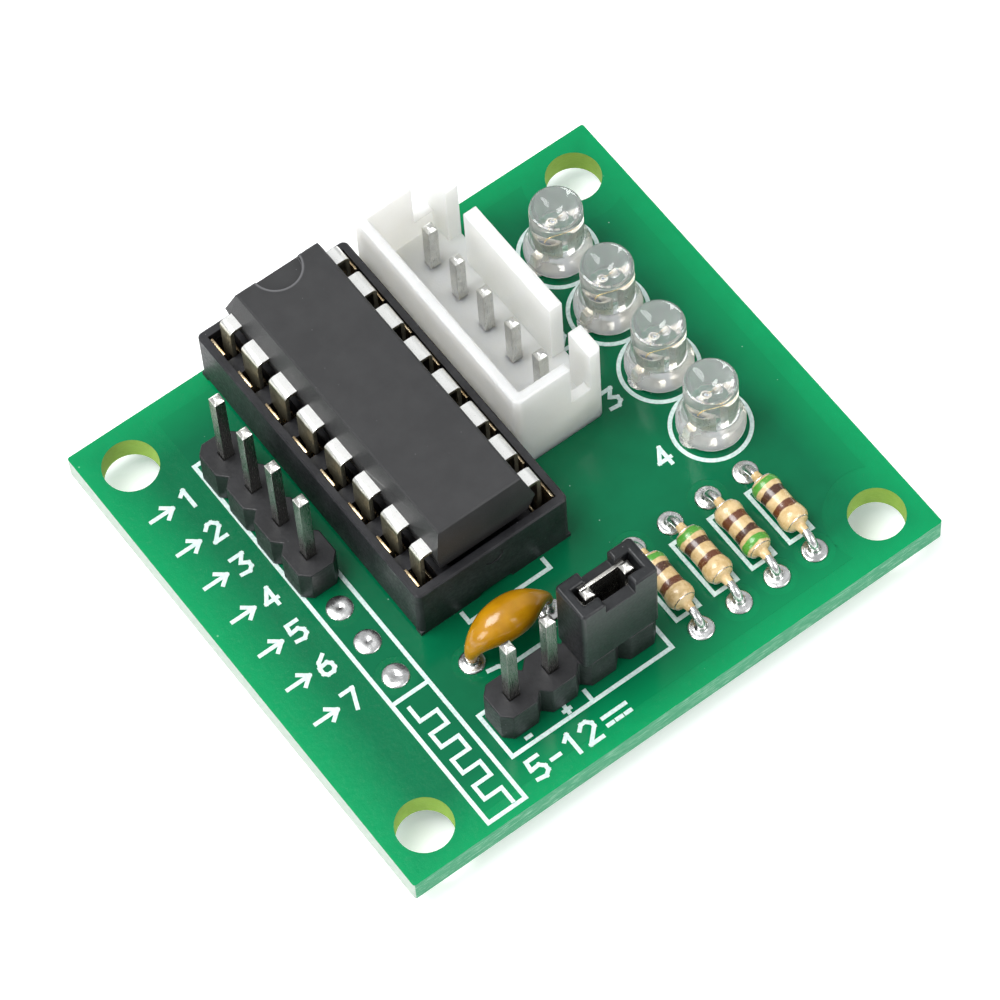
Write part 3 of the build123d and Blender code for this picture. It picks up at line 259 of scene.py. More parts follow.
# %% [markdown]
# ## Green coating, laminate and copper
# The board is glass cloth in epoxy, with copper on it under a glossy green coating. Where copper
# lies below, the green is a little deeper. The long sawn edges are stained green by the coating
# that ran over them, the short ones are pale with cut glass fibres, and the drilled mounting holes
# show the yellow-green of the bare laminate. Near the rim the green is painted brighter: painted
# light, standing in for light that enters the laminate at its rim. An image could carry all this,
# but it would blur close up and would need painting again for another board. One finish tells the
# zones apart by which way a surface faces and how far it is from the rim.

# %% Board finish
COATING_GLOSS = 0.22
# Painted light: within this distance of the rim, the green is painted brighter, towards this colour.
PAINTED_RIM_LIGHT_MM = 3.4
PAINTED_RIM_LIGHT_GREEN = (0.0009, 0.225, 0.074)


def rim_distance(finish):
    """How far a place is from the board's nearest edge, in millimetres."""
    from_side = finish.math("SUBTRACT", board_high.x / MM, finish.math("ABSOLUTE", finish.axis("X")))
    from_end = finish.math("SUBTRACT", board_high.y / MM, finish.math("ABSOLUTE", finish.axis("Y")))
    return finish.math("MINIMUM", from_side, from_end)


def faces_along(finish, letter):
    """1 where a surface faces along that axis, either way, and 0 elsewhere."""
    return finish.band(finish.math("ABSOLUTE", finish.normal(letter)), 0.45, 0.55)


board_finish = Finish("board_laminate", roughness=0.3)
faces_up = faces_along(board_finish, "Z")
from_rim = rim_distance(board_finish)
at_rim = board_finish.band(from_rim, 0.35, 0.2)
cloth = board_finish.noise(1.2, 4, 0.6)
mask_green = board_finish.mix(cloth, (0.0005, 0.112, 0.042), (0.0007, 0.140, 0.054))
# Painted light: a brighter green, mixed in more strongly the nearer the place is to the rim.
painted_rim_lit_green = board_finish.mix(cloth, PAINTED_RIM_LIGHT_GREEN, (0.0011, 0.270, 0.090))
painted_rim_glow = board_finish.band(from_rim, PAINTED_RIM_LIGHT_MM, 0.0)
mask_green = board_finish.mix(painted_rim_glow, mask_green, painted_rim_lit_green)
dust = board_finish.specks(0.55, 0.035)
mask_green = board_finish.mix(board_finish.math("MULTIPLY", dust, 0.4), mask_green, (0.4, 0.7, 0.5))
fibres = board_finish.noise(3.0, 5, 0.7, board_finish.stretch(1.0, 1.0, 5.0))
strands = board_finish.noise(2.2, 4, 0.7, board_finish.stretch(0.5, 0.5, 7.0))
strands = board_finish.band(strands, 0.52, 0.68)
stained = board_finish.mix(strands, (0.045, 0.27, 0.135), (0.30, 0.52, 0.38))
pale = board_finish.mix(fibres, (0.20, 0.30, 0.24), (0.60, 0.64, 0.58))
drilled = board_finish.mix(fibres, (0.18, 0.32, 0.035), (0.36, 0.52, 0.10))
sawn = board_finish.mix(faces_along(board_finish, "X"), stained, pale)
wall = board_finish.mix(at_rim, drilled, sawn)
board_finish.colour(board_finish.mix(faces_up, wall, mask_green))
board_finish.roughness(board_finish.band(faces_up, 0, 1, 0.65, 0.14))
board_finish.bump(fibres, 0.05, 0.5)
board_finish.shader.inputs["Specular IOR Level"].default_value = COATING_GLOSS
dress_node("circuit_board", board_finish)
print("board:", round(board_high.x * 2 / MM, 1), "by", round(board_high.y * 2 / MM, 1), "mm")

# %% [markdown]
# The copper sheet under the coating is a real step of about a hundredth of a millimetre. It could
# be painted on, but a real step also catches the light. A flat curve with holes makes it: Blender
# fills a closed 2-D curve and leaves inner rings open.


# %% Plates from outlines
def add_ring(curve, points):
    """A closed straight-sided spline."""
    spline = curve.splines.new("POLY")
    spline.points.add(len(points) - 1)
    for point, (x, y) in zip(spline.points, points):
        point.co = (x, y, 0, 1)
    spline.use_cyclic_u = True


def round_points(x, y, r, steps=40):
    """Points round a circle."""
    return [
        (x + r * math.cos(2 * math.pi * k / steps), y + r * math.sin(2 * math.pi * k / steps))
        for k in range(steps)
    ]


def sheet_from_rings(name, rings, z, up, thickness):
    """Thin plate from closed outlines; the inner ones are openings."""
    curve = bpy.data.curves.new(name + "_outline", "CURVE")
    curve.dimensions = "2D"
    curve.fill_mode = "BOTH"
    for ring in rings:
        add_ring(curve, ring)
    curve.extrude = thickness / 2
    temporary = bpy.data.objects.new(name + "_outline", curve)
    bpy.context.scene.collection.objects.link(temporary)
    bpy.context.view_layer.update()
    mesh = bpy.data.meshes.new_from_object(
        temporary.evaluated_get(bpy.context.evaluated_depsgraph_get())
    )
    bpy.data.objects.remove(temporary)
    mesh.transform(Matrix.Translation((0, 0, z + up * thickness / 2)))
    mesh.name = name
    piece = bpy.data.objects.new(name, mesh)
    bpy.context.scene.collection.objects.link(piece)
    return piece

# %% [markdown]
# The sheet stops short of the rim, the mounting holes and the strip where the inputs are numbered,
# and keeps a gap round the pads it isn't joined to.

# %% Copper outline
COPPER_STEP = 0.012 * MM
COPPER_INSET = 1.2 * MM
copper_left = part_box("input_header")[0].x
HOLE_CLEAR = 1.35 * MM
PAD_CLEAR = 0.42 * MM
NOTCH_STEPS = 16


def notched_outline():
    """The sheet's rim: inset from the board's edge, curving in round the right mounting holes."""
    clear = mount_r + HOLE_CLEAR
    x1 = board_high.x - COPPER_INSET
    y1 = board_high.y - COPPER_INSET
    points = [(copper_left, -y1), (copper_left, y1)]
    for side in (1, -1):
        hole_y = side * mount_y
        reach_y = -side * math.sqrt(max(clear**2 - (x1 - mount_x) ** 2, 0))
        reach_x = -math.sqrt(max(clear**2 - (y1 - mount_y) ** 2, 0))
        at_right = math.atan2(reach_y, x1 - mount_x)
        at_end = math.atan2(side * y1 - hole_y, reach_x)
        start, end = (at_end, at_right) if side == 1 else (at_right, at_end)
        if end < start:
            end += 2 * math.pi
        for step in range(NOTCH_STEPS + 1):
            angle = start + (end - start) * step / NOTCH_STEPS
            points.append((mount_x + clear * math.cos(angle), hole_y + clear * math.sin(angle)))
    return points


def in_pour(index):
    """Some pads are joined to the sheet; the others get a gap."""
    return index % 4 == 1


print("copper starts", round(copper_left / MM, 2), "mm from the middle")

# %% [markdown]
# Its finish is the board's green, a little deeper, with the same brighter green painted near the
# rim.

# %% Coated copper finish
coated_copper = Finish("coated_copper", roughness=0.16)
film = coated_copper.noise(0.9, 4, 0.55)
fine = coated_copper.noise(9.0, 3, 0.6)
deep_green = coated_copper.mix(film, (0.0005, 0.103, 0.041), (0.0007, 0.131, 0.052))
# Painted light: the green is painted brighter towards the board's rim.
painted_rim_light = coated_copper.band(rim_distance(coated_copper), PAINTED_RIM_LIGHT_MM, 0.0)
deep_green = coated_copper.mix(painted_rim_light, deep_green, PAINTED_RIM_LIGHT_GREEN)
lint = coated_copper.specks(0.7, 0.03)
coated_copper.colour(
    coated_copper.mix(coated_copper.math("MULTIPLY", lint, 0.55), deep_green, (0.45, 0.7, 0.6))
)
coated_copper.roughness(coated_copper.band(fine, 0.3, 0.7, 0.11, 0.19))
coated_copper.bump(film, 0.02, 0.3)
coated_copper.shader.inputs["Specular IOR Level"].default_value = COATING_GLOSS

# %% Lay the copper sheets
for side_name, z, up in (("top", board_top, 1), ("underside", board_bottom, -1)):
    rings = [notched_outline()]
    for index, (x, y, size) in enumerate(pads):
        if not in_pour(index):
            rings.append(round_points(x, y, size / 2 + PAD_CLEAR))
    copper = sheet_from_rings("copper_sheet_" + side_name, rings, z, up, COPPER_STEP)
    dress(copper, coated_copper)
    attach(copper, "board")
    print(copper.name, len(copper.data.polygons), "faces")

# %% [markdown]
# Under the board, narrow tracks run from joint to joint beneath the same coating, which ripples
# over them. Each is a strip with bends at 45 degrees, a hair proud of the laminate. A curve with a
# flat section would do, but its bends would narrow, so plain boxes are laid end over end. Each run
# is a little thinner than the one before, because two faces at one level would flicker.

# %% Track finish
track_green = Finish("coated_tracks", roughness=0.2)
ripple = track_green.noise(1.4, 4, 0.6)
track_green.colour(track_green.mix(ripple, (0.002, 0.185, 0.060), (0.003, 0.250, 0.085)))
track_green.roughness(track_green.band(ripple, 0.3, 0.7, 0.15, 0.26))
track_green.bump(ripple, 0.02, 0.3)
track_green.shader.inputs["Specular IOR Level"].default_value = 0.3

# %% Tracks under the board
TRACK_W = 0.5 * MM
TRACK_STEP = 0.03 * MM
TRACK_THINNING = 0.2


def track(mesh, points, level):
    """Flat strip along a chain of points."""
    for number, ((x0, y0), (x1, y1)) in enumerate(zip(points, points[1:])):
        run = Vector((x1 - x0, y1 - y0))
        if run.length < TRACK_W / 10:
            continue
        along = run.normalized() * TRACK_W / 2
        thickness = TRACK_STEP * (1 - TRACK_THINNING * number)
        aside = Vector((-along.y, along.x))
        first = Vector((x0, y0)) - along
        last = Vector((x1, y1)) + along
        corners = [first - aside, first + aside, last + aside, last - aside]
        lower = [mesh.verts.new((c.x, c.y, level - thickness)) for c in corners]
        upper = [mesh.verts.new((c.x, c.y, level)) for c in corners]
        mesh.faces.new(lower)
        mesh.faces.new(list(reversed(upper)))
        for k in range(4):
            n = (k + 1) % 4
            mesh.faces.new((lower[k], upper[k], upper[n], lower[n]))


def dog_leg(start, end):
    """Straight out from the start, then a slanting run into the end."""
    slant = min(abs(end[0] - start[0]), abs(end[1] - start[1]))
    step = math.copysign(slant, start[0] - end[0])
    return [start, (end[0] + step, start[1]), end]


def joint_places(node):
    """Places of a solder piece's joints, from the back of the board to the front."""
    return sorted([(x, y) for x, y, size in islands(node)], key=lambda place: -place[1])

# %% Lay the tracks
input_row = joint_places("solder_input") + joint_places("solder_input_spare")
chip_row = joint_places("solder_socket")
chip_left = [place for place in chip_row if place[0] < middle("socket_frame").x]
chip_right = [place for place in chip_row if place[0] > middle("socket_frame").x]
tracks = bmesh.new()
for start, end in zip(input_row, chip_left):
    track(tracks, dog_leg(end, start), board_bottom)
for start, end in zip(chip_right, joint_places("solder_motor")):
    track(tracks, dog_leg(start, end), board_bottom)
for start, end in zip(joint_places("solder_leds")[1::2], joint_places("solder_leds")[3::2]):
    track(tracks, [start, end], board_bottom)
bmesh.ops.recalc_face_normals(tracks, faces=tracks.faces)
track_piece = link_mesh("underside_tracks", tracks)
dress(track_piece, track_green)
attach(track_piece, "board")
print("tracks:", len(track_piece.data.polygons) // 6, "runs")

# %% [markdown]
# ## Printed legend
# The white marks are thick epoxy ink pushed through a screen. They stay as CAD pieces. Their ink
# is slightly blue-green, uneven in strength, and duller than the coating beside it.

# %% Ink finish
ink = Finish("legend_ink", roughness=0.5)
ink_body = ink.noise(6.0, 4, 0.6)
ink.colour(ink.mix(ink.band(ink_body, 0.35, 0.65), (0.46, 0.60, 0.57), (0.66, 0.77, 0.74)))
ink.roughness(ink.band(ink_body, 0.3, 0.7, 0.4, 0.65))
ink.bump(ink_body, 0.02, 0.6)
dress_node("legend_ink", ink)
print("legend:", len(frame["nodes"]["legend_ink"].data.polygons), "faces of ink")

# %% [markdown]
# ## Tin, solder, bronze and gold
# Every lead is plated with tin, which takes fine draw lines along its length and dulls in patches.
# Solder froze from a liquid, so it is smoother, with shallow dimples and dark specks of flux.


# %% Metal finishes
def metal(name, dark, light, roughness, lines=(1, 1, 1), grain=4.0, relief=0.012):
    """A plated or drawn metal with patchy colour and a fine grain."""
    finish = Finish(name, roughness=roughness, metallic=1.0)
    patches = finish.noise(1.6, 4, 0.6)
    texture = finish.noise(grain, 4, 0.6, finish.stretch(*lines))
    finish.colour(finish.mix(finish.band(patches, 0.35, 0.65), dark, light))
    finish.roughness(finish.band(texture, 0.3, 0.7, roughness * 0.7, roughness * 1.5))
    finish.bump(texture, relief, 0.5)
    return finish


pin_tin = metal("pin_tin", (0.56, 0.56, 0.54), (0.68, 0.68, 0.65), 0.30, (7, 7, 0.5), 3.0, 0.003)
wire_tin = metal("wire_tin", (0.58, 0.58, 0.57), (0.86, 0.86, 0.85), 0.24, (3, 3, 3))
die_tin = metal("die_pad_tin", (0.60, 0.60, 0.57), (0.82, 0.81, 0.78), 0.3, (4, 4, 4))
bronze = metal("contact_bronze", (0.30, 0.21, 0.11), (0.66, 0.54, 0.36), 0.27, (3, 3, 6))
spring_metal = metal("clip_metal", (0.62, 0.60, 0.55), (0.86, 0.84, 0.78), 0.25, (2, 8, 8))
frame_metal = metal("led_frame_metal", (0.74, 0.66, 0.54), (0.92, 0.90, 0.86), 0.30, (5, 5, 2))
gold = metal("gold_wire", (0.80, 0.55, 0.18), (0.96, 0.74, 0.32), 0.2)
silicon = metal("silicon", (0.16, 0.17, 0.22), (0.32, 0.34, 0.42), 0.12, (8, 8, 8))
print("metals:", [finish.material.name for finish in (pin_tin, wire_tin, bronze, spring_metal)])

# %% [markdown]
# The chip's legs carry painted light: tops painted bright as lit, sides painted dark olive as shade.
# The header pins carry a painted reflection: their sides are painted dark, as if mirroring the black
# plastic and the table round them, and their pointed tips get a painted highlight. Both finishes
# are blended by the Z part of the surface's direction.

# %% Chip leg and header pin finishes
lead_tin = Finish("chip_lead_tin", roughness=0.3, metallic=0.85)
wear = lead_tin.noise(2.0, 4, 0.6)
draw_lines = lead_tin.noise(4.0, 3, 0.6, lead_tin.stretch(5, 5, 0.6))
# Painted light: faces that look up get the bright lit colour, and the sides a dark olive shade.
lit_top_mask = lead_tin.band(lead_tin.normal("Z"), 0.25, 0.75)
shaded_side_colour = lead_tin.mix(wear, (0.17, 0.15, 0.09), (0.42, 0.40, 0.30))
lit_top_colour = lead_tin.mix(wear, (0.84, 0.84, 0.81), (0.95, 0.95, 0.93))
lead_tin.colour(lead_tin.mix(lit_top_mask, shaded_side_colour, lit_top_colour))
lead_tin.roughness(lead_tin.band(draw_lines, 0.3, 0.7, 0.26, 0.42))
lead_tin.bump(draw_lines, 0.006, 0.5)

post_tin = Finish("header_pin_tin", roughness=0.28, metallic=1.0)
tarnish = post_tin.noise(1.1, 3, 0.5, post_tin.stretch(1, 1, 0.4))
rolling = post_tin.noise(4.0, 3, 0.6, post_tin.stretch(8, 8, 0.5))
# Painted reflection: the shaft is painted dark, and the tip, where the surface looks up, a bright
# highlight.
painted_tip_highlight_mask = post_tin.band(post_tin.normal("Z"), 0.2, 0.6)
painted_dark_shaft = post_tin.mix(tarnish, (0.10, 0.10, 0.095), (0.42, 0.41, 0.38))
post_tin.colour(post_tin.mix(painted_tip_highlight_mask, painted_dark_shaft, (0.86, 0.85, 0.80)))
post_tin.roughness(post_tin.band(rolling, 0.3, 0.7, 0.22, 0.36))
post_tin.bump(rolling, 0.003, 0.4)
print("leg finish:", lead_tin.material.name, "and pin finish:", post_tin.material.name)

# %% Solder finish
solder = Finish("solder", roughness=0.24, metallic=1.0)
dimples = solder.noise(2.6, 3, 0.5)
flux = solder.specks(3.0, 0.11)
silvery = solder.mix(solder.band(dimples, 0.3, 0.7), (0.60, 0.60, 0.59), (0.86, 0.86, 0.85))
solder.colour(solder.mix(solder.math("MULTIPLY", flux, 0.55), silvery, (0.20, 0.18, 0.16)))
solder.roughness(solder.band(dimples, 0.3, 0.7, 0.18, 0.34))
solder.bump(dimples, 0.03, 0.5)

# %% [markdown]
# ## Moulded plastic
# Header bodies, the socket and the jumper are black plastic. It isn't truly black: the skin picks up
# dust, its tone wanders a little, and it has the fine orange peel of its mould.


# %% Black plastics
def black_plastic(name, dark, grey, roughness, peel=5.0, relief=0.02, dusty=0.35):
    """Moulded black plastic with a dusty, slightly uneven skin."""
    finish = Finish(name, roughness=roughness)
    skin = finish.noise(peel, 4, 0.55)
    cloud = finish.noise(0.7, 3, 0.6)
    motes = finish.specks(1.4, 0.05)
    base = finish.mix(finish.band(cloud, 0.35, 0.7), dark, grey)
    finish.colour(finish.mix(finish.math("MULTIPLY", motes, dusty), base, (0.42, 0.42, 0.43)))
    finish.roughness(finish.band(skin, 0.3, 0.7, roughness * 0.8, roughness * 1.25))
    finish.bump(skin, relief, 0.5)
    finish.shader.inputs["Specular IOR Level"].default_value = 0.38
    return finish


header_black = black_plastic("header_plastic", (0.009, 0.009, 0.010), (0.019, 0.019, 0.021), 0.42)
socket_black = black_plastic("socket_plastic", (0.009, 0.009, 0.011), (0.022, 0.022, 0.025), 0.46)
jumper_black = black_plastic("jumper_plastic", (0.008, 0.009, 0.010), (0.018, 0.019, 0.021), 0.38)
chip_black = black_plastic(
    "chip_moulding", (0.023, 0.023, 0.024), (0.029, 0.029, 0.030), 0.46, 22.0, 0.010, 0.15
)
print("plastics:", header_black.material.name, socket_black.material.name, chip_black.material.name)

# %% [markdown]
# The motor connector is natural nylon, which is slightly milky: light goes in, scatters and comes
# out again nearby. Subsurface scattering does this, over a distance of a few millimetres, and it
# is what keeps the shroud's inner walls bright.

# %% Ivory nylon
ivory = Finish("ivory_nylon", roughness=0.42)
milk = ivory.noise(0.5, 3, 0.5)
peel = ivory.noise(7.0, 3, 0.55)
ivory.colour(ivory.mix(milk, (0.63, 0.63, 0.60), (0.68, 0.68, 0.655)))
ivory.roughness(ivory.band(peel, 0.3, 0.7, 0.36, 0.5))
ivory.bump(peel, 0.015, 0.5)
ivory.shader.inputs["Subsurface Weight"].default_value = 1.0
ivory.shader.inputs["Subsurface Radius"].default_value = (1.0, 0.95, 0.85)
ivory.shader.inputs["Subsurface Scale"].default_value = 0.0045

# %% [markdown]
# A mould can't make a perfectly sharp corner, and a sharp corner never catches the light. Each
# moulded or stamped piece is therefore remade from its CAD mesh: flat triangles are merged back
# into whole faces, and a Bevel modifier rounds every edge by a few hundredths of a millimetre.


# %% Rounded copies
def apply_modifiers(piece):
    """Freeze the modifiers into the mesh."""
    bpy.context.view_layer.update()
    depsgraph = bpy.context.evaluated_depsgraph_get()
    result = bpy.data.meshes.new_from_object(piece.evaluated_get(depsgraph))
    piece.modifiers.clear()
    piece.data = result


def rounded(node, name, radius_mm, body, finish, segments=2):
    """Copy of a CAD piece with softened edges, which then stands for it."""
    mesh = bmesh.new()
    mesh.from_mesh(frame["nodes"][node].data)
    bmesh.ops.remove_doubles(mesh, verts=mesh.verts, dist=1e-6)
    bmesh.ops.dissolve_limit(
        mesh, angle_limit=math.radians(2), verts=mesh.verts, edges=mesh.edges
    )
    piece = link_mesh(name, mesh)
    bevel = piece.modifiers.new("edge", "BEVEL")
    bevel.width = radius_mm * MM
    bevel.segments = segments
    bevel.limit_method = "ANGLE"
    bevel.angle_limit = math.radians(28)
    bevel.use_clamp_overlap = True
    for face in piece.data.polygons:
        face.use_smooth = True
    flat = piece.modifiers.new("flat_faces", "WEIGHTED_NORMAL")
    flat.mode = "FACE_AREA"
    flat.weight = 100
    apply_modifiers(piece)
    dress(piece, finish)
    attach(piece, body)
    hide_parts(node)
    print(name, len(piece.data.polygons), "faces")
    return piece

# %% [markdown]
# The round notch at one end of the chip tells which way it goes in. Its rim gets a painted
# highlight:
# a pale ring of a known radius round the notch's centre, kept to the face that looks up, and mixed
# over the colour that the chip already has.

# %% The chip's notch, with a painted highlight round its rim
NOTCH_INSET_MM = 0.45
NOTCH_RIM_MM = 1.44
notch_x = middle("chip_body").x / MM
notch_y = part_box("chip_body")[1].y / MM - NOTCH_INSET_MM
run_x = chip_black.math("SUBTRACT", chip_black.axis("X"), notch_x)
run_y = chip_black.math("SUBTRACT", chip_black.axis("Y"), notch_y)
square_x = chip_black.math("MULTIPLY", run_x, run_x)
square_y = chip_black.math("MULTIPLY", run_y, run_y)
reach = chip_black.math("SQRT", chip_black.math("ADD", square_x, square_y))
off_rim = chip_black.math("ABSOLUTE", chip_black.math("SUBTRACT", reach, NOTCH_RIM_MM))
# Painted highlight: a pale ring on the chip's top round the notch.
ring = chip_black.band(off_rim, 0.10, 0.03, 0.0, 0.75)
looks_up = chip_black.band(chip_black.normal("Z"), 0.9, 0.97)
painted_notch_highlight = chip_black.math("MULTIPLY", ring, looks_up)
plain = chip_black.shader.inputs["Base Color"].links[0].from_socket
chip_black.colour(chip_black.mix(painted_notch_highlight, plain, (0.13, 0.13, 0.135)))

# %% [markdown]
# The moulded pieces get the widest rounding, 0.05 to 0.07 mm. Cut and bent metal is sharper, so
# its edges get 0.02 or 0.03 mm. Each copy rides on the body that its CAD piece belongs to: when
# the jumper or the chip is lifted, its plastic and its metal go together.

# %% Headers, socket, jumper, connector and chip
rounded("input_header", "input_insulator", 0.07, "board", header_black)
rounded("power_header", "power_insulator", 0.07, "board", header_black)
rounded("socket_frame", "chip_socket", 0.05, "board", socket_black)
rounded("jumper_cap", "jumper_shell", 0.06, "jumper", jumper_black)
rounded("jumper_clip", "jumper_spring", 0.02, "jumper", spring_metal)
rounded("motor_housing", "motor_shroud", 0.07, "board", ivory, segments=3)
rounded("chip_body", "chip_package", 0.07, "driver_chip", chip_black, segments=3)
rounded("chip_leads", "chip_legs", 0.03, "driver_chip", lead_tin)
rounded("socket_contacts", "socket_springs", 0.02, "board", bronze)
rounded("input_pins", "input_posts", 0.03, "board", post_tin)
rounded("power_pins", "power_posts", 0.03, "board", post_tin)
rounded("motor_pins", "motor_posts", 0.03, "board", pin_tin)

# %% [markdown]
# ## Turned shapes
# A lens, a resistor's body and a solder joint are all round about one axis. Each is drawn as half
# an outline and turned into a solid, like work on a lathe.


# %% A small lathe
def turned(name, outline, steps=64):
    """Solid of revolution about Z from (radius, height) pairs in millimetres, lowest first."""
    mesh = bmesh.new()
    rings = []
    for r, z in outline:
        if r == 0:
            rings.append([mesh.verts.new((0, 0, z * MM))])
            continue
        rings.append(
            [
                mesh.verts.new((x, y, z * MM))
                for x, y in round_points(0, 0, r * MM, steps)
            ]
        )
    for lower, upper in zip(rings, rings[1:]):
        for k in range(steps):
            n = (k + 1) % steps
            if len(lower) == 1:
                mesh.faces.new((lower[0], upper[n], upper[k]))
            elif len(upper) == 1:
                mesh.faces.new((lower[k], lower[n], upper[0]))
            else:
                mesh.faces.new((lower[k], lower[n], upper[n], upper[k]))
    for ring, flip in ((rings[0], True), (rings[-1], False)):
        if len(ring) > 1:
            mesh.faces.new(list(reversed(ring)) if flip else ring)
    for face in mesh.faces:
        face.smooth = True
    piece = link_mesh(name, mesh)
    piece.data.set_sharp_from_angle(angle=math.radians(42))
    return piece


def bend_outline(points, rounding=3):
    """Cut the corners of an outline a few times, which rounds them."""
    for _ in range(rounding):
        smooth = [points[0]]
        for (r0, z0), (r1, z1) in zip(points, points[1:]):
            smooth.append((0.75 * r0 + 0.25 * r1, 0.75 * z0 + 0.25 * z1))
            smooth.append((0.25 * r0 + 0.75 * r1, 0.25 * z0 + 0.75 * z1))
        smooth.append(points[-1])
        points = smooth
    return points

# %% [markdown]
# ## Indicator LEDs
# Each LED is a clear epoxy casting: a flange, a shoulder, a straight barrel and a sunken cone in
# its top that throws the light sideways. The metal frame and its cup are cast inside. The CAD
# piece has a fitted hollow for them; here the lens is one whole casting, so that light bends only
# once where it enters. The epoxy is slightly milky, so part of the light scatters at its skin.

# %% Clear epoxy
clear_epoxy = Finish("clear_epoxy", roughness=0.06)
haze = clear_epoxy.noise(1.2, 3, 0.5)
clear_epoxy.colour(clear_epoxy.mix(haze, (0.95, 0.97, 0.97), (0.99, 1.0, 1.0)))
clear_epoxy.roughness(clear_epoxy.band(haze, 0.3, 0.7, 0.02, 0.06))
clear_epoxy.bump(haze, 0.02, 0.3)
clear_epoxy.shader.inputs["Transmission Weight"].default_value = 0.86
clear_epoxy.shader.inputs["IOR"].default_value = 1.50

# %% Half outline of a lens
FLANGE_R = 1.925
BARREL_R = 1.5
CONE_R = 1.28
DRAWN_HEIGHT = 4.35
lens_outline = [(0, 0.0), (FLANGE_R - 0.10, 0.0), (FLANGE_R, 0.08), (FLANGE_R, 0.52)]
lens_outline += [(FLANGE_R - 0.09, 0.62), (FLANGE_R - 0.12, 0.92), (FLANGE_R - 0.20, 1.00)]
lens_outline += [(BARREL_R + 0.12, 1.28), (BARREL_R + 0.10, 1.46), (BARREL_R, 1.56)]
lens_outline += [(BARREL_R, 4.16), (BARREL_R - 0.05, 4.29), (CONE_R + 0.06, 4.34)]
lens_outline += [(CONE_R - 0.02, 4.31), (0.75, 3.86), (0.3, 3.58), (0.0, 3.50)]

# %% Cast the four LEDs
for number in range(1, 5):
    node = f"led_{number}_lens"
    low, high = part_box(node)
    spot = middle(node)
    tall = (high.z - low.z) / MM / DRAWN_HEIGHT
    casting = turned(f"led_{number}_casting", [(r, z * tall) for r, z in lens_outline])
    casting.data.transform(Matrix.Translation((spot.x, spot.y, low.z)))
    dress(casting, clear_epoxy)
    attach(casting, "board")
    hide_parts(node)
    print(casting.name, len(casting.data.polygons), "faces")
    dress_node(f"led_{number}_anode", frame_metal)
    dress_node(f"led_{number}_cathode", frame_metal)
dress_node("led_chips", silicon)
dress_node("led_bond_wires", gold)

# %% [markdown]
# ## Resistors
# A carbon-film resistor is dipped in tan lacquer, thicker over its end caps, and banded with
# paint while it spins, so the bands wander a little. The lacquer runs a short way along the leads.

# %% Banded lacquer
GREEN_PAINT = (0.07, 0.29, 0.03)
BROWN_PAINT = (0.12, 0.036, 0.012)
DARK_PAINT = (0.065, 0.024, 0.012)
TAN = (0.54, 0.37, 0.16)
PALE_TAN = (0.68, 0.51, 0.27)


def banded(name, centre_y_mm, bands):
    """Tan lacquer with painted bands; each is (distance from the middle, width, colour) in mm."""
    finish = Finish(name, roughness=0.28)
    wobble = finish.band(finish.noise(1.1, 2), 0.3, 0.7, -0.07, 0.07)
    along = finish.math("ADD", finish.math("SUBTRACT", finish.axis("Y"), centre_y_mm), wobble)
    lacquer = finish.noise(2.4, 4, 0.6)
    colour = finish.mix(finish.band(lacquer, 0.35, 0.65), TAN, PALE_TAN)
    paint_grain = finish.noise(7.0, 4, 0.7)
    for place, width, paint in bands:
        offset = finish.math("ABSOLUTE", finish.math("SUBTRACT", along, place))
        inside = finish.band(offset, width / 2 + 0.02, width / 2 - 0.03)
        worn = finish.band(paint_grain, 0.72, 0.60, 0.35, 1.0)
        colour = finish.mix(finish.math("MULTIPLY", inside, worn), colour, paint)
    finish.colour(colour)
    finish.roughness(finish.band(lacquer, 0.3, 0.7, 0.2, 0.38))
    finish.bump(lacquer, 0.04, 0.6)
    finish.shader.inputs["Coat Weight"].default_value = 0.5
    finish.shader.inputs["Coat Roughness"].default_value = 0.12
    return finish

# %% The four resistors
resistor_outline = [(0.26, -2.20), (0.28, -1.90), (0.35, -1.74), (0.64, -1.62), (0.82, -1.36)]
resistor_outline += [(0.83, -1.05), (0.77, -0.80), (0.72, -0.45), (0.72, 0.45), (0.77, 0.80)]
resistor_outline += [(0.83, 1.05), (0.82, 1.36), (0.64, 1.62), (0.35, 1.74), (0.28, 1.90)]
resistor_outline += [(0.26, 2.20)]
lie_along_y = Matrix.Rotation(math.radians(-90), 4, "X")

for number in range(1, 5):
    node = f"resistor_{number}_coating"
    spot = middle(node)
    flip = -1 if number == 2 else 1
    bands = [(flip * 1.25, 0.42, GREEN_PAINT), (flip * 0.52, 0.46, DARK_PAINT)]
    bands += [(flip * -0.52, 0.44, BROWN_PAINT)]
    finish = banded(f"resistor_{number}_lacquer", spot.y / MM, bands)
    body = turned(f"resistor_{number}_body", bend_outline(resistor_outline, 2), 48)
    body.data.transform(Matrix.Translation(spot) @ lie_along_y)
    dress(body, finish)
    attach(body, "board")
    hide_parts(node)
    dress_node(f"resistor_{number}_leads", wire_tin)
    dress_node(f"resistor_{number}_core", ivory)
    print(body.name, len(body.data.polygons), "faces")

# %% [markdown]
# ## Capacitor
# A ceramic block and its soldered leads are dipped together in orange-yellow epoxy, which thins
# out along the leads like a drop. A tube of rings does it: each ring has a place on the way from
# one lead over the body to the other, and its own radius. Subdivision rounds what lies between.

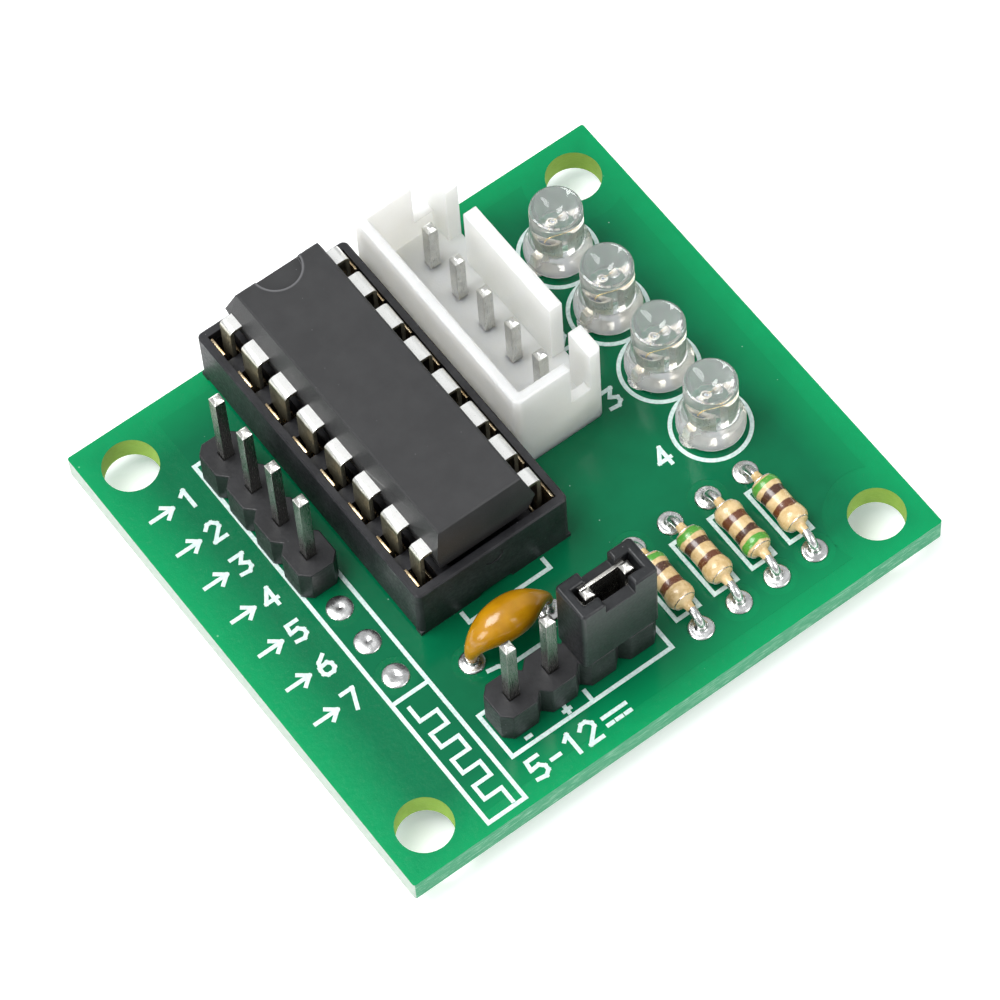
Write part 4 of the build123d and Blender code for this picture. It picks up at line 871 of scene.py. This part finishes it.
# %% Ochre epoxy
ochre = Finish("ochre_epoxy", roughness=0.22)
dip = ochre.noise(0.9, 3, 0.5)
grit = ochre.noise(8.0, 3, 0.6)
ochre.colour(ochre.mix(ochre.band(dip, 0.3, 0.7), (0.37, 0.170, 0.002), (0.48, 0.230, 0.004)))
ochre.roughness(ochre.band(grit, 0.3, 0.7, 0.14, 0.26))
ochre.bump(dip, 0.10, 0.4)
ochre.shader.inputs["Coat Weight"].default_value = 0.25
ochre.shader.inputs["Coat Roughness"].default_value = 0.08
ochre.shader.inputs["Subsurface Weight"].default_value = 0.15
ochre.shader.inputs["Subsurface Radius"].default_value = (1.0, 0.5, 0.1)
ochre.shader.inputs["Subsurface Scale"].default_value = 0.0006

# %% Where the capacitor sits
LEAD_R = 0.25 * MM
FATNESS = 0.88
leads_low, leads_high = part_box("capacitor_leads")
coat_low, coat_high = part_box("capacitor_coating")
capacitor_y = middle("capacitor_coating").y
body_z = middle("capacitor_ceramic").z
foot_x = (leads_low.x + leads_high.x) / 2
span = (leads_high.x - leads_low.x) / 2 - LEAD_R
fat = FATNESS * (coat_high.z - body_z) / MM

print("capacitor leads:", round(2 * span / MM, 2), "mm apart")

# %% The dip's rings
# One entry per ring: along the span, height from body to board, radius as a share of the body's
dip_rings = [
    (-1.0, 1.0, 0.24), (-1.0, 0.9, 0.27), (-0.995, 0.75, 0.31), (-0.97, 0.58, 0.36),
    (-0.92, 0.42, 0.44), (-0.83, 0.27, 0.55), (-0.70, 0.14, 0.70), (-0.54, 0.06, 0.84),
    (-0.35, 0.01, 0.95), (-0.12, 0.0, 1.0), (0.12, 0.0, 0.99), (0.34, 0.01, 0.90),
    (0.52, 0.04, 0.74), (0.67, 0.09, 0.56), (0.79, 0.15, 0.41), (0.89, 0.24, 0.31),
    (0.95, 0.36, 0.265), (0.985, 0.50, 0.245), (1.0, 0.64, 0.225),
]
DIP_STEPS = 40


def dip_ring_centre(u, drop):
    """Middle of one ring: u runs from lead to lead, and drop from the body down to the board."""
    reach = body_z - coat_low.z
    return Vector((foot_x + u * span, capacitor_y, body_z - drop * reach))

# %% Skin over the rings
skin = bmesh.new()
rings = []
for index, (u, drop, share) in enumerate(dip_rings):
    here = dip_ring_centre(u, drop)
    before = dip_ring_centre(*dip_rings[max(index - 1, 0)][:2])
    after = dip_ring_centre(*dip_rings[min(index + 1, len(dip_rings) - 1)][:2])
    ahead = (after - before).normalized()
    across = Vector((0, 1, 0))
    outward = ahead.cross(across)
    ring = []
    for step in range(DIP_STEPS):
        angle = 2 * math.pi * step / DIP_STEPS
        spoke = across * math.cos(angle) + outward * math.sin(angle)
        ring.append(skin.verts.new(here + spoke * fat * share * MM))
    rings.append(ring)
for one, other in zip(rings, rings[1:]):
    for k in range(DIP_STEPS):
        n = (k + 1) % DIP_STEPS
        skin.faces.new((one[k], one[n], other[n], other[k]))
skin.faces.new(list(reversed(rings[0])))
skin.faces.new(rings[-1])
bmesh.ops.recalc_face_normals(skin, faces=skin.faces)
dipped = link_mesh("capacitor_dip", skin)
round_off = dipped.modifiers.new("round_off", "SUBSURF")
round_off.levels = 2
round_off.render_levels = 2
apply_modifiers(dipped)
for face in dipped.data.polygons:
    face.use_smooth = True
dress(dipped, ochre)
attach(dipped, "board")
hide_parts("capacitor_coating")
print("capacitor skin:", len(dipped.data.polygons), "faces")

# %% [markdown]
# ## Solder on the component side
# Where a lead comes through, the solder climbs it a little and leaves a shallow bowl round it. The
# three unused holes are filled level, with a slight dome and a dimple where the metal shrank.
# The places come from the CAD solder, whose cones under the board are kept.

# %% Frozen solder
LUMP_HEIGHT_MM = 0.022
LUMP_SIZE_MM = 0.6
SEED_STEP = 3.7
SINK = 0.012 * MM


def lumpy(piece, height_mm, size_mm, seed):
    """Push a mesh in and out gently along Z, as cooling metal does."""
    for vert in piece.data.vertices:
        where = Vector((vert.co.x, vert.co.y, seed * MM)) / (size_mm * MM)
        vert.co.z += noise.noise(where) * height_mm * MM

# %% Outlines of a bowl and of a filled hole
bowl_outline = [(0.74, 0.0), (0.73, 0.04), (0.66, 0.10), (0.52, 0.11), (0.40, 0.13)]
bowl_outline += [(0.31, 0.19), (0.27, 0.30), (0.25, 0.40)]
plug_outline = [(0.75, 0.0), (0.745, 0.03), (0.68, 0.07), (0.50, 0.11), (0.30, 0.12)]
plug_outline += [(0.14, 0.09), (0.0, 0.06)]


def joints(node, name, outline):
    """One piece with a turned joint over every solid of a CAD solder piece, and its cones below."""
    merged = bmesh.new()
    pad_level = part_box("plated_holes")[1].z
    for seed, (x, y, size) in enumerate(islands(node)):
        crown = turned(name + "_part", bend_outline(outline, 2), 40)
        lumpy(crown, LUMP_HEIGHT_MM, LUMP_SIZE_MM, seed * SEED_STEP)
        crown.data.transform(Matrix.Translation((x, y, pad_level - SINK)))
        merged.from_mesh(crown.data)
        bpy.data.objects.remove(crown)
    below = bmesh.new()
    below.from_mesh(frame["nodes"][node].data)
    doomed = [face for face in below.faces if min(v.co.z for v in face.verts) > board_top]
    bmesh.ops.delete(below, geom=doomed, context="FACES")
    cones = bpy.data.meshes.new(name + "_cones")
    below.to_mesh(cones)
    below.free()
    merged.from_mesh(cones)
    piece = link_mesh(name, merged)
    for face in piece.data.polygons:
        face.use_smooth = True
    piece.data.set_sharp_from_angle(angle=math.radians(50))
    dress(piece, solder)
    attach(piece, "board")
    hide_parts(node)
    print(name, len(piece.data.polygons), "faces")

# %% Lay the joints
joints("solder_resistors", "resistor_joints", bowl_outline)
joints("solder_capacitor", "capacitor_joints", bowl_outline)
joints("solder_input_spare", "spare_hole_joints", plug_outline)

# %% [markdown]
# The joints that stand under plastic, and the pieces sealed inside others, are hardly seen. They
# keep their CAD shape and only get a finish.

# %% The rest keeps its CAD shape
soldered = ("socket", "motor", "input", "power", "leds")
for node in ["plated_holes"] + ["solder_" + part for part in soldered]:
    dress_node(node, solder)
dress_node("capacitor_leads", wire_tin)
dress_node("capacitor_ceramic", ivory)
dress_node("chip_die_pad", die_tin)
dress_node("chip_die", silicon)
dress_node("chip_bond_wires", gold)
print("solder left as modelled:", ", ".join(soldered))

# %% [markdown]
# ## Table, light and camera
# The table is a pale matt sheet with a faint mottle, lit a little from below as a light table is,
# so shadows stay thin and the mounting holes stay bright. A broad soft light hangs above and
# behind, as in a small product tent, and weaker ones fill the left and the front.

# %% Table
paper = Finish("paper", roughness=0.75)
mottle = paper.noise(0.05, 3, 0.5)
paper.colour(paper.mix(mottle, (0.90, 0.90, 0.90), (0.94, 0.94, 0.94)))
paper.shader.inputs["Emission Color"].default_value = (1.0, 1.0, 1.0, 1.0)
paper.shader.inputs["Emission Strength"].default_value = 0.28
TABLE = 1.2
sheet = bmesh.new()
bmesh.ops.create_grid(sheet, x_segments=12, y_segments=12, size=TABLE)
table = link_mesh("table", sheet)
table.location.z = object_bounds()[0][2] - 0.02 * MM
dress(table, paper)
print("table top at", round(table.location.z / MM, 3), "mm")


# %% Lights
def softbox(name, place, size, power, colour=(1, 1, 1)):
    """A square area light that faces the board."""
    light = bpy.data.lights.new(name, "AREA")
    light.shape = "SQUARE"
    light.size = size
    light.energy = power
    light.color = colour
    lamp = bpy.data.objects.new(name, light)
    lamp.location = place
    aim = Vector((0, 0, board_top)) - Vector(place)
    lamp.rotation_euler = aim.to_track_quat("-Z", "Y").to_euler()
    bpy.context.scene.collection.objects.link(lamp)


softbox("tent_roof", (-0.16, 0.10, 0.42), 0.26, 2.1)
softbox("tent_left", (-0.42, -0.10, 0.22), 0.22, 0.9)
softbox("tent_front", (0.20, -0.34, 0.26), 0.22, 0.8)
print("lights:", len(bpy.data.lights))

# %% [markdown]
# The cloth of the tent is bright overhead and dim near the table, which gives metal its dark
# sides. The world's strength therefore rises with the height of the direction looked in.

# %% The tent's cloth
world = bpy.data.worlds.new("room")
bpy.context.scene.world = world
world.use_nodes = True
sky = world.node_tree
room = sky.nodes["Background"]
direction = sky.nodes.new("ShaderNodeTexCoord")
height = sky.nodes.new("ShaderNodeSeparateXYZ")
rise = sky.nodes.new("ShaderNodeMapRange")
rise.inputs["From Min"].default_value = -0.1
rise.inputs["From Max"].default_value = 0.75
rise.inputs["To Min"].default_value = 0.16
rise.inputs["To Max"].default_value = 0.62
sky.links.new(direction.outputs["Generated"], height.inputs[0])
sky.links.new(height.outputs["Z"], rise.inputs["Value"])
sky.links.new(rise.outputs["Result"], room.inputs["Strength"])
room.inputs["Color"].default_value = (0.96, 0.98, 1.0, 1)

# %% [markdown]
# The camera has a long lens, far from the board, so that parallel edges stay almost parallel. Its
# direction is set by an azimuth and an elevation, and it is rolled a few degrees.

# %% Camera
azimuth = math.radians(-32.442)
elevation = math.radians(61.283)
roll = math.radians(-4.677)
distance = 271.27 * MM
slide_right = -0.083 * MM
slide_up = -0.550 * MM
focal_length_mm = 181.49
sensor_width_mm = 36

back = Vector(
    (
        math.sin(azimuth) * math.cos(elevation),
        -math.cos(azimuth) * math.cos(elevation),
        math.sin(elevation),
    )
)
level = Vector((math.cos(azimuth), math.sin(azimuth), 0))
upward = back.cross(level)
right = level * math.cos(roll) + upward * math.sin(roll)
up_vector = upward * math.cos(roll) - level * math.sin(roll)

lens = bpy.data.cameras.new("camera")
lens.sensor_width = sensor_width_mm
lens.lens = focal_length_mm
lens.clip_start = 0.01
camera = bpy.data.objects.new("camera", lens)
turn = Matrix((right, up_vector, back)).transposed().to_4x4()
place = Vector((0, 0, board_top)) + back * distance + right * slide_right + up_vector * slide_up
camera.matrix_world = Matrix.Translation(place) @ turn
bpy.context.scene.collection.objects.link(camera)
bpy.context.scene.camera = camera
bpy.context.scene.view_settings.view_transform = "Standard"
print("camera at", [round(c / MM, 1) for c in camera.matrix_world.translation], "mm")

# %% [markdown]
# ## The last update
# The scene is brought up to date at the end.

# %% Bring the scene up to date
bpy.context.view_layer.update()
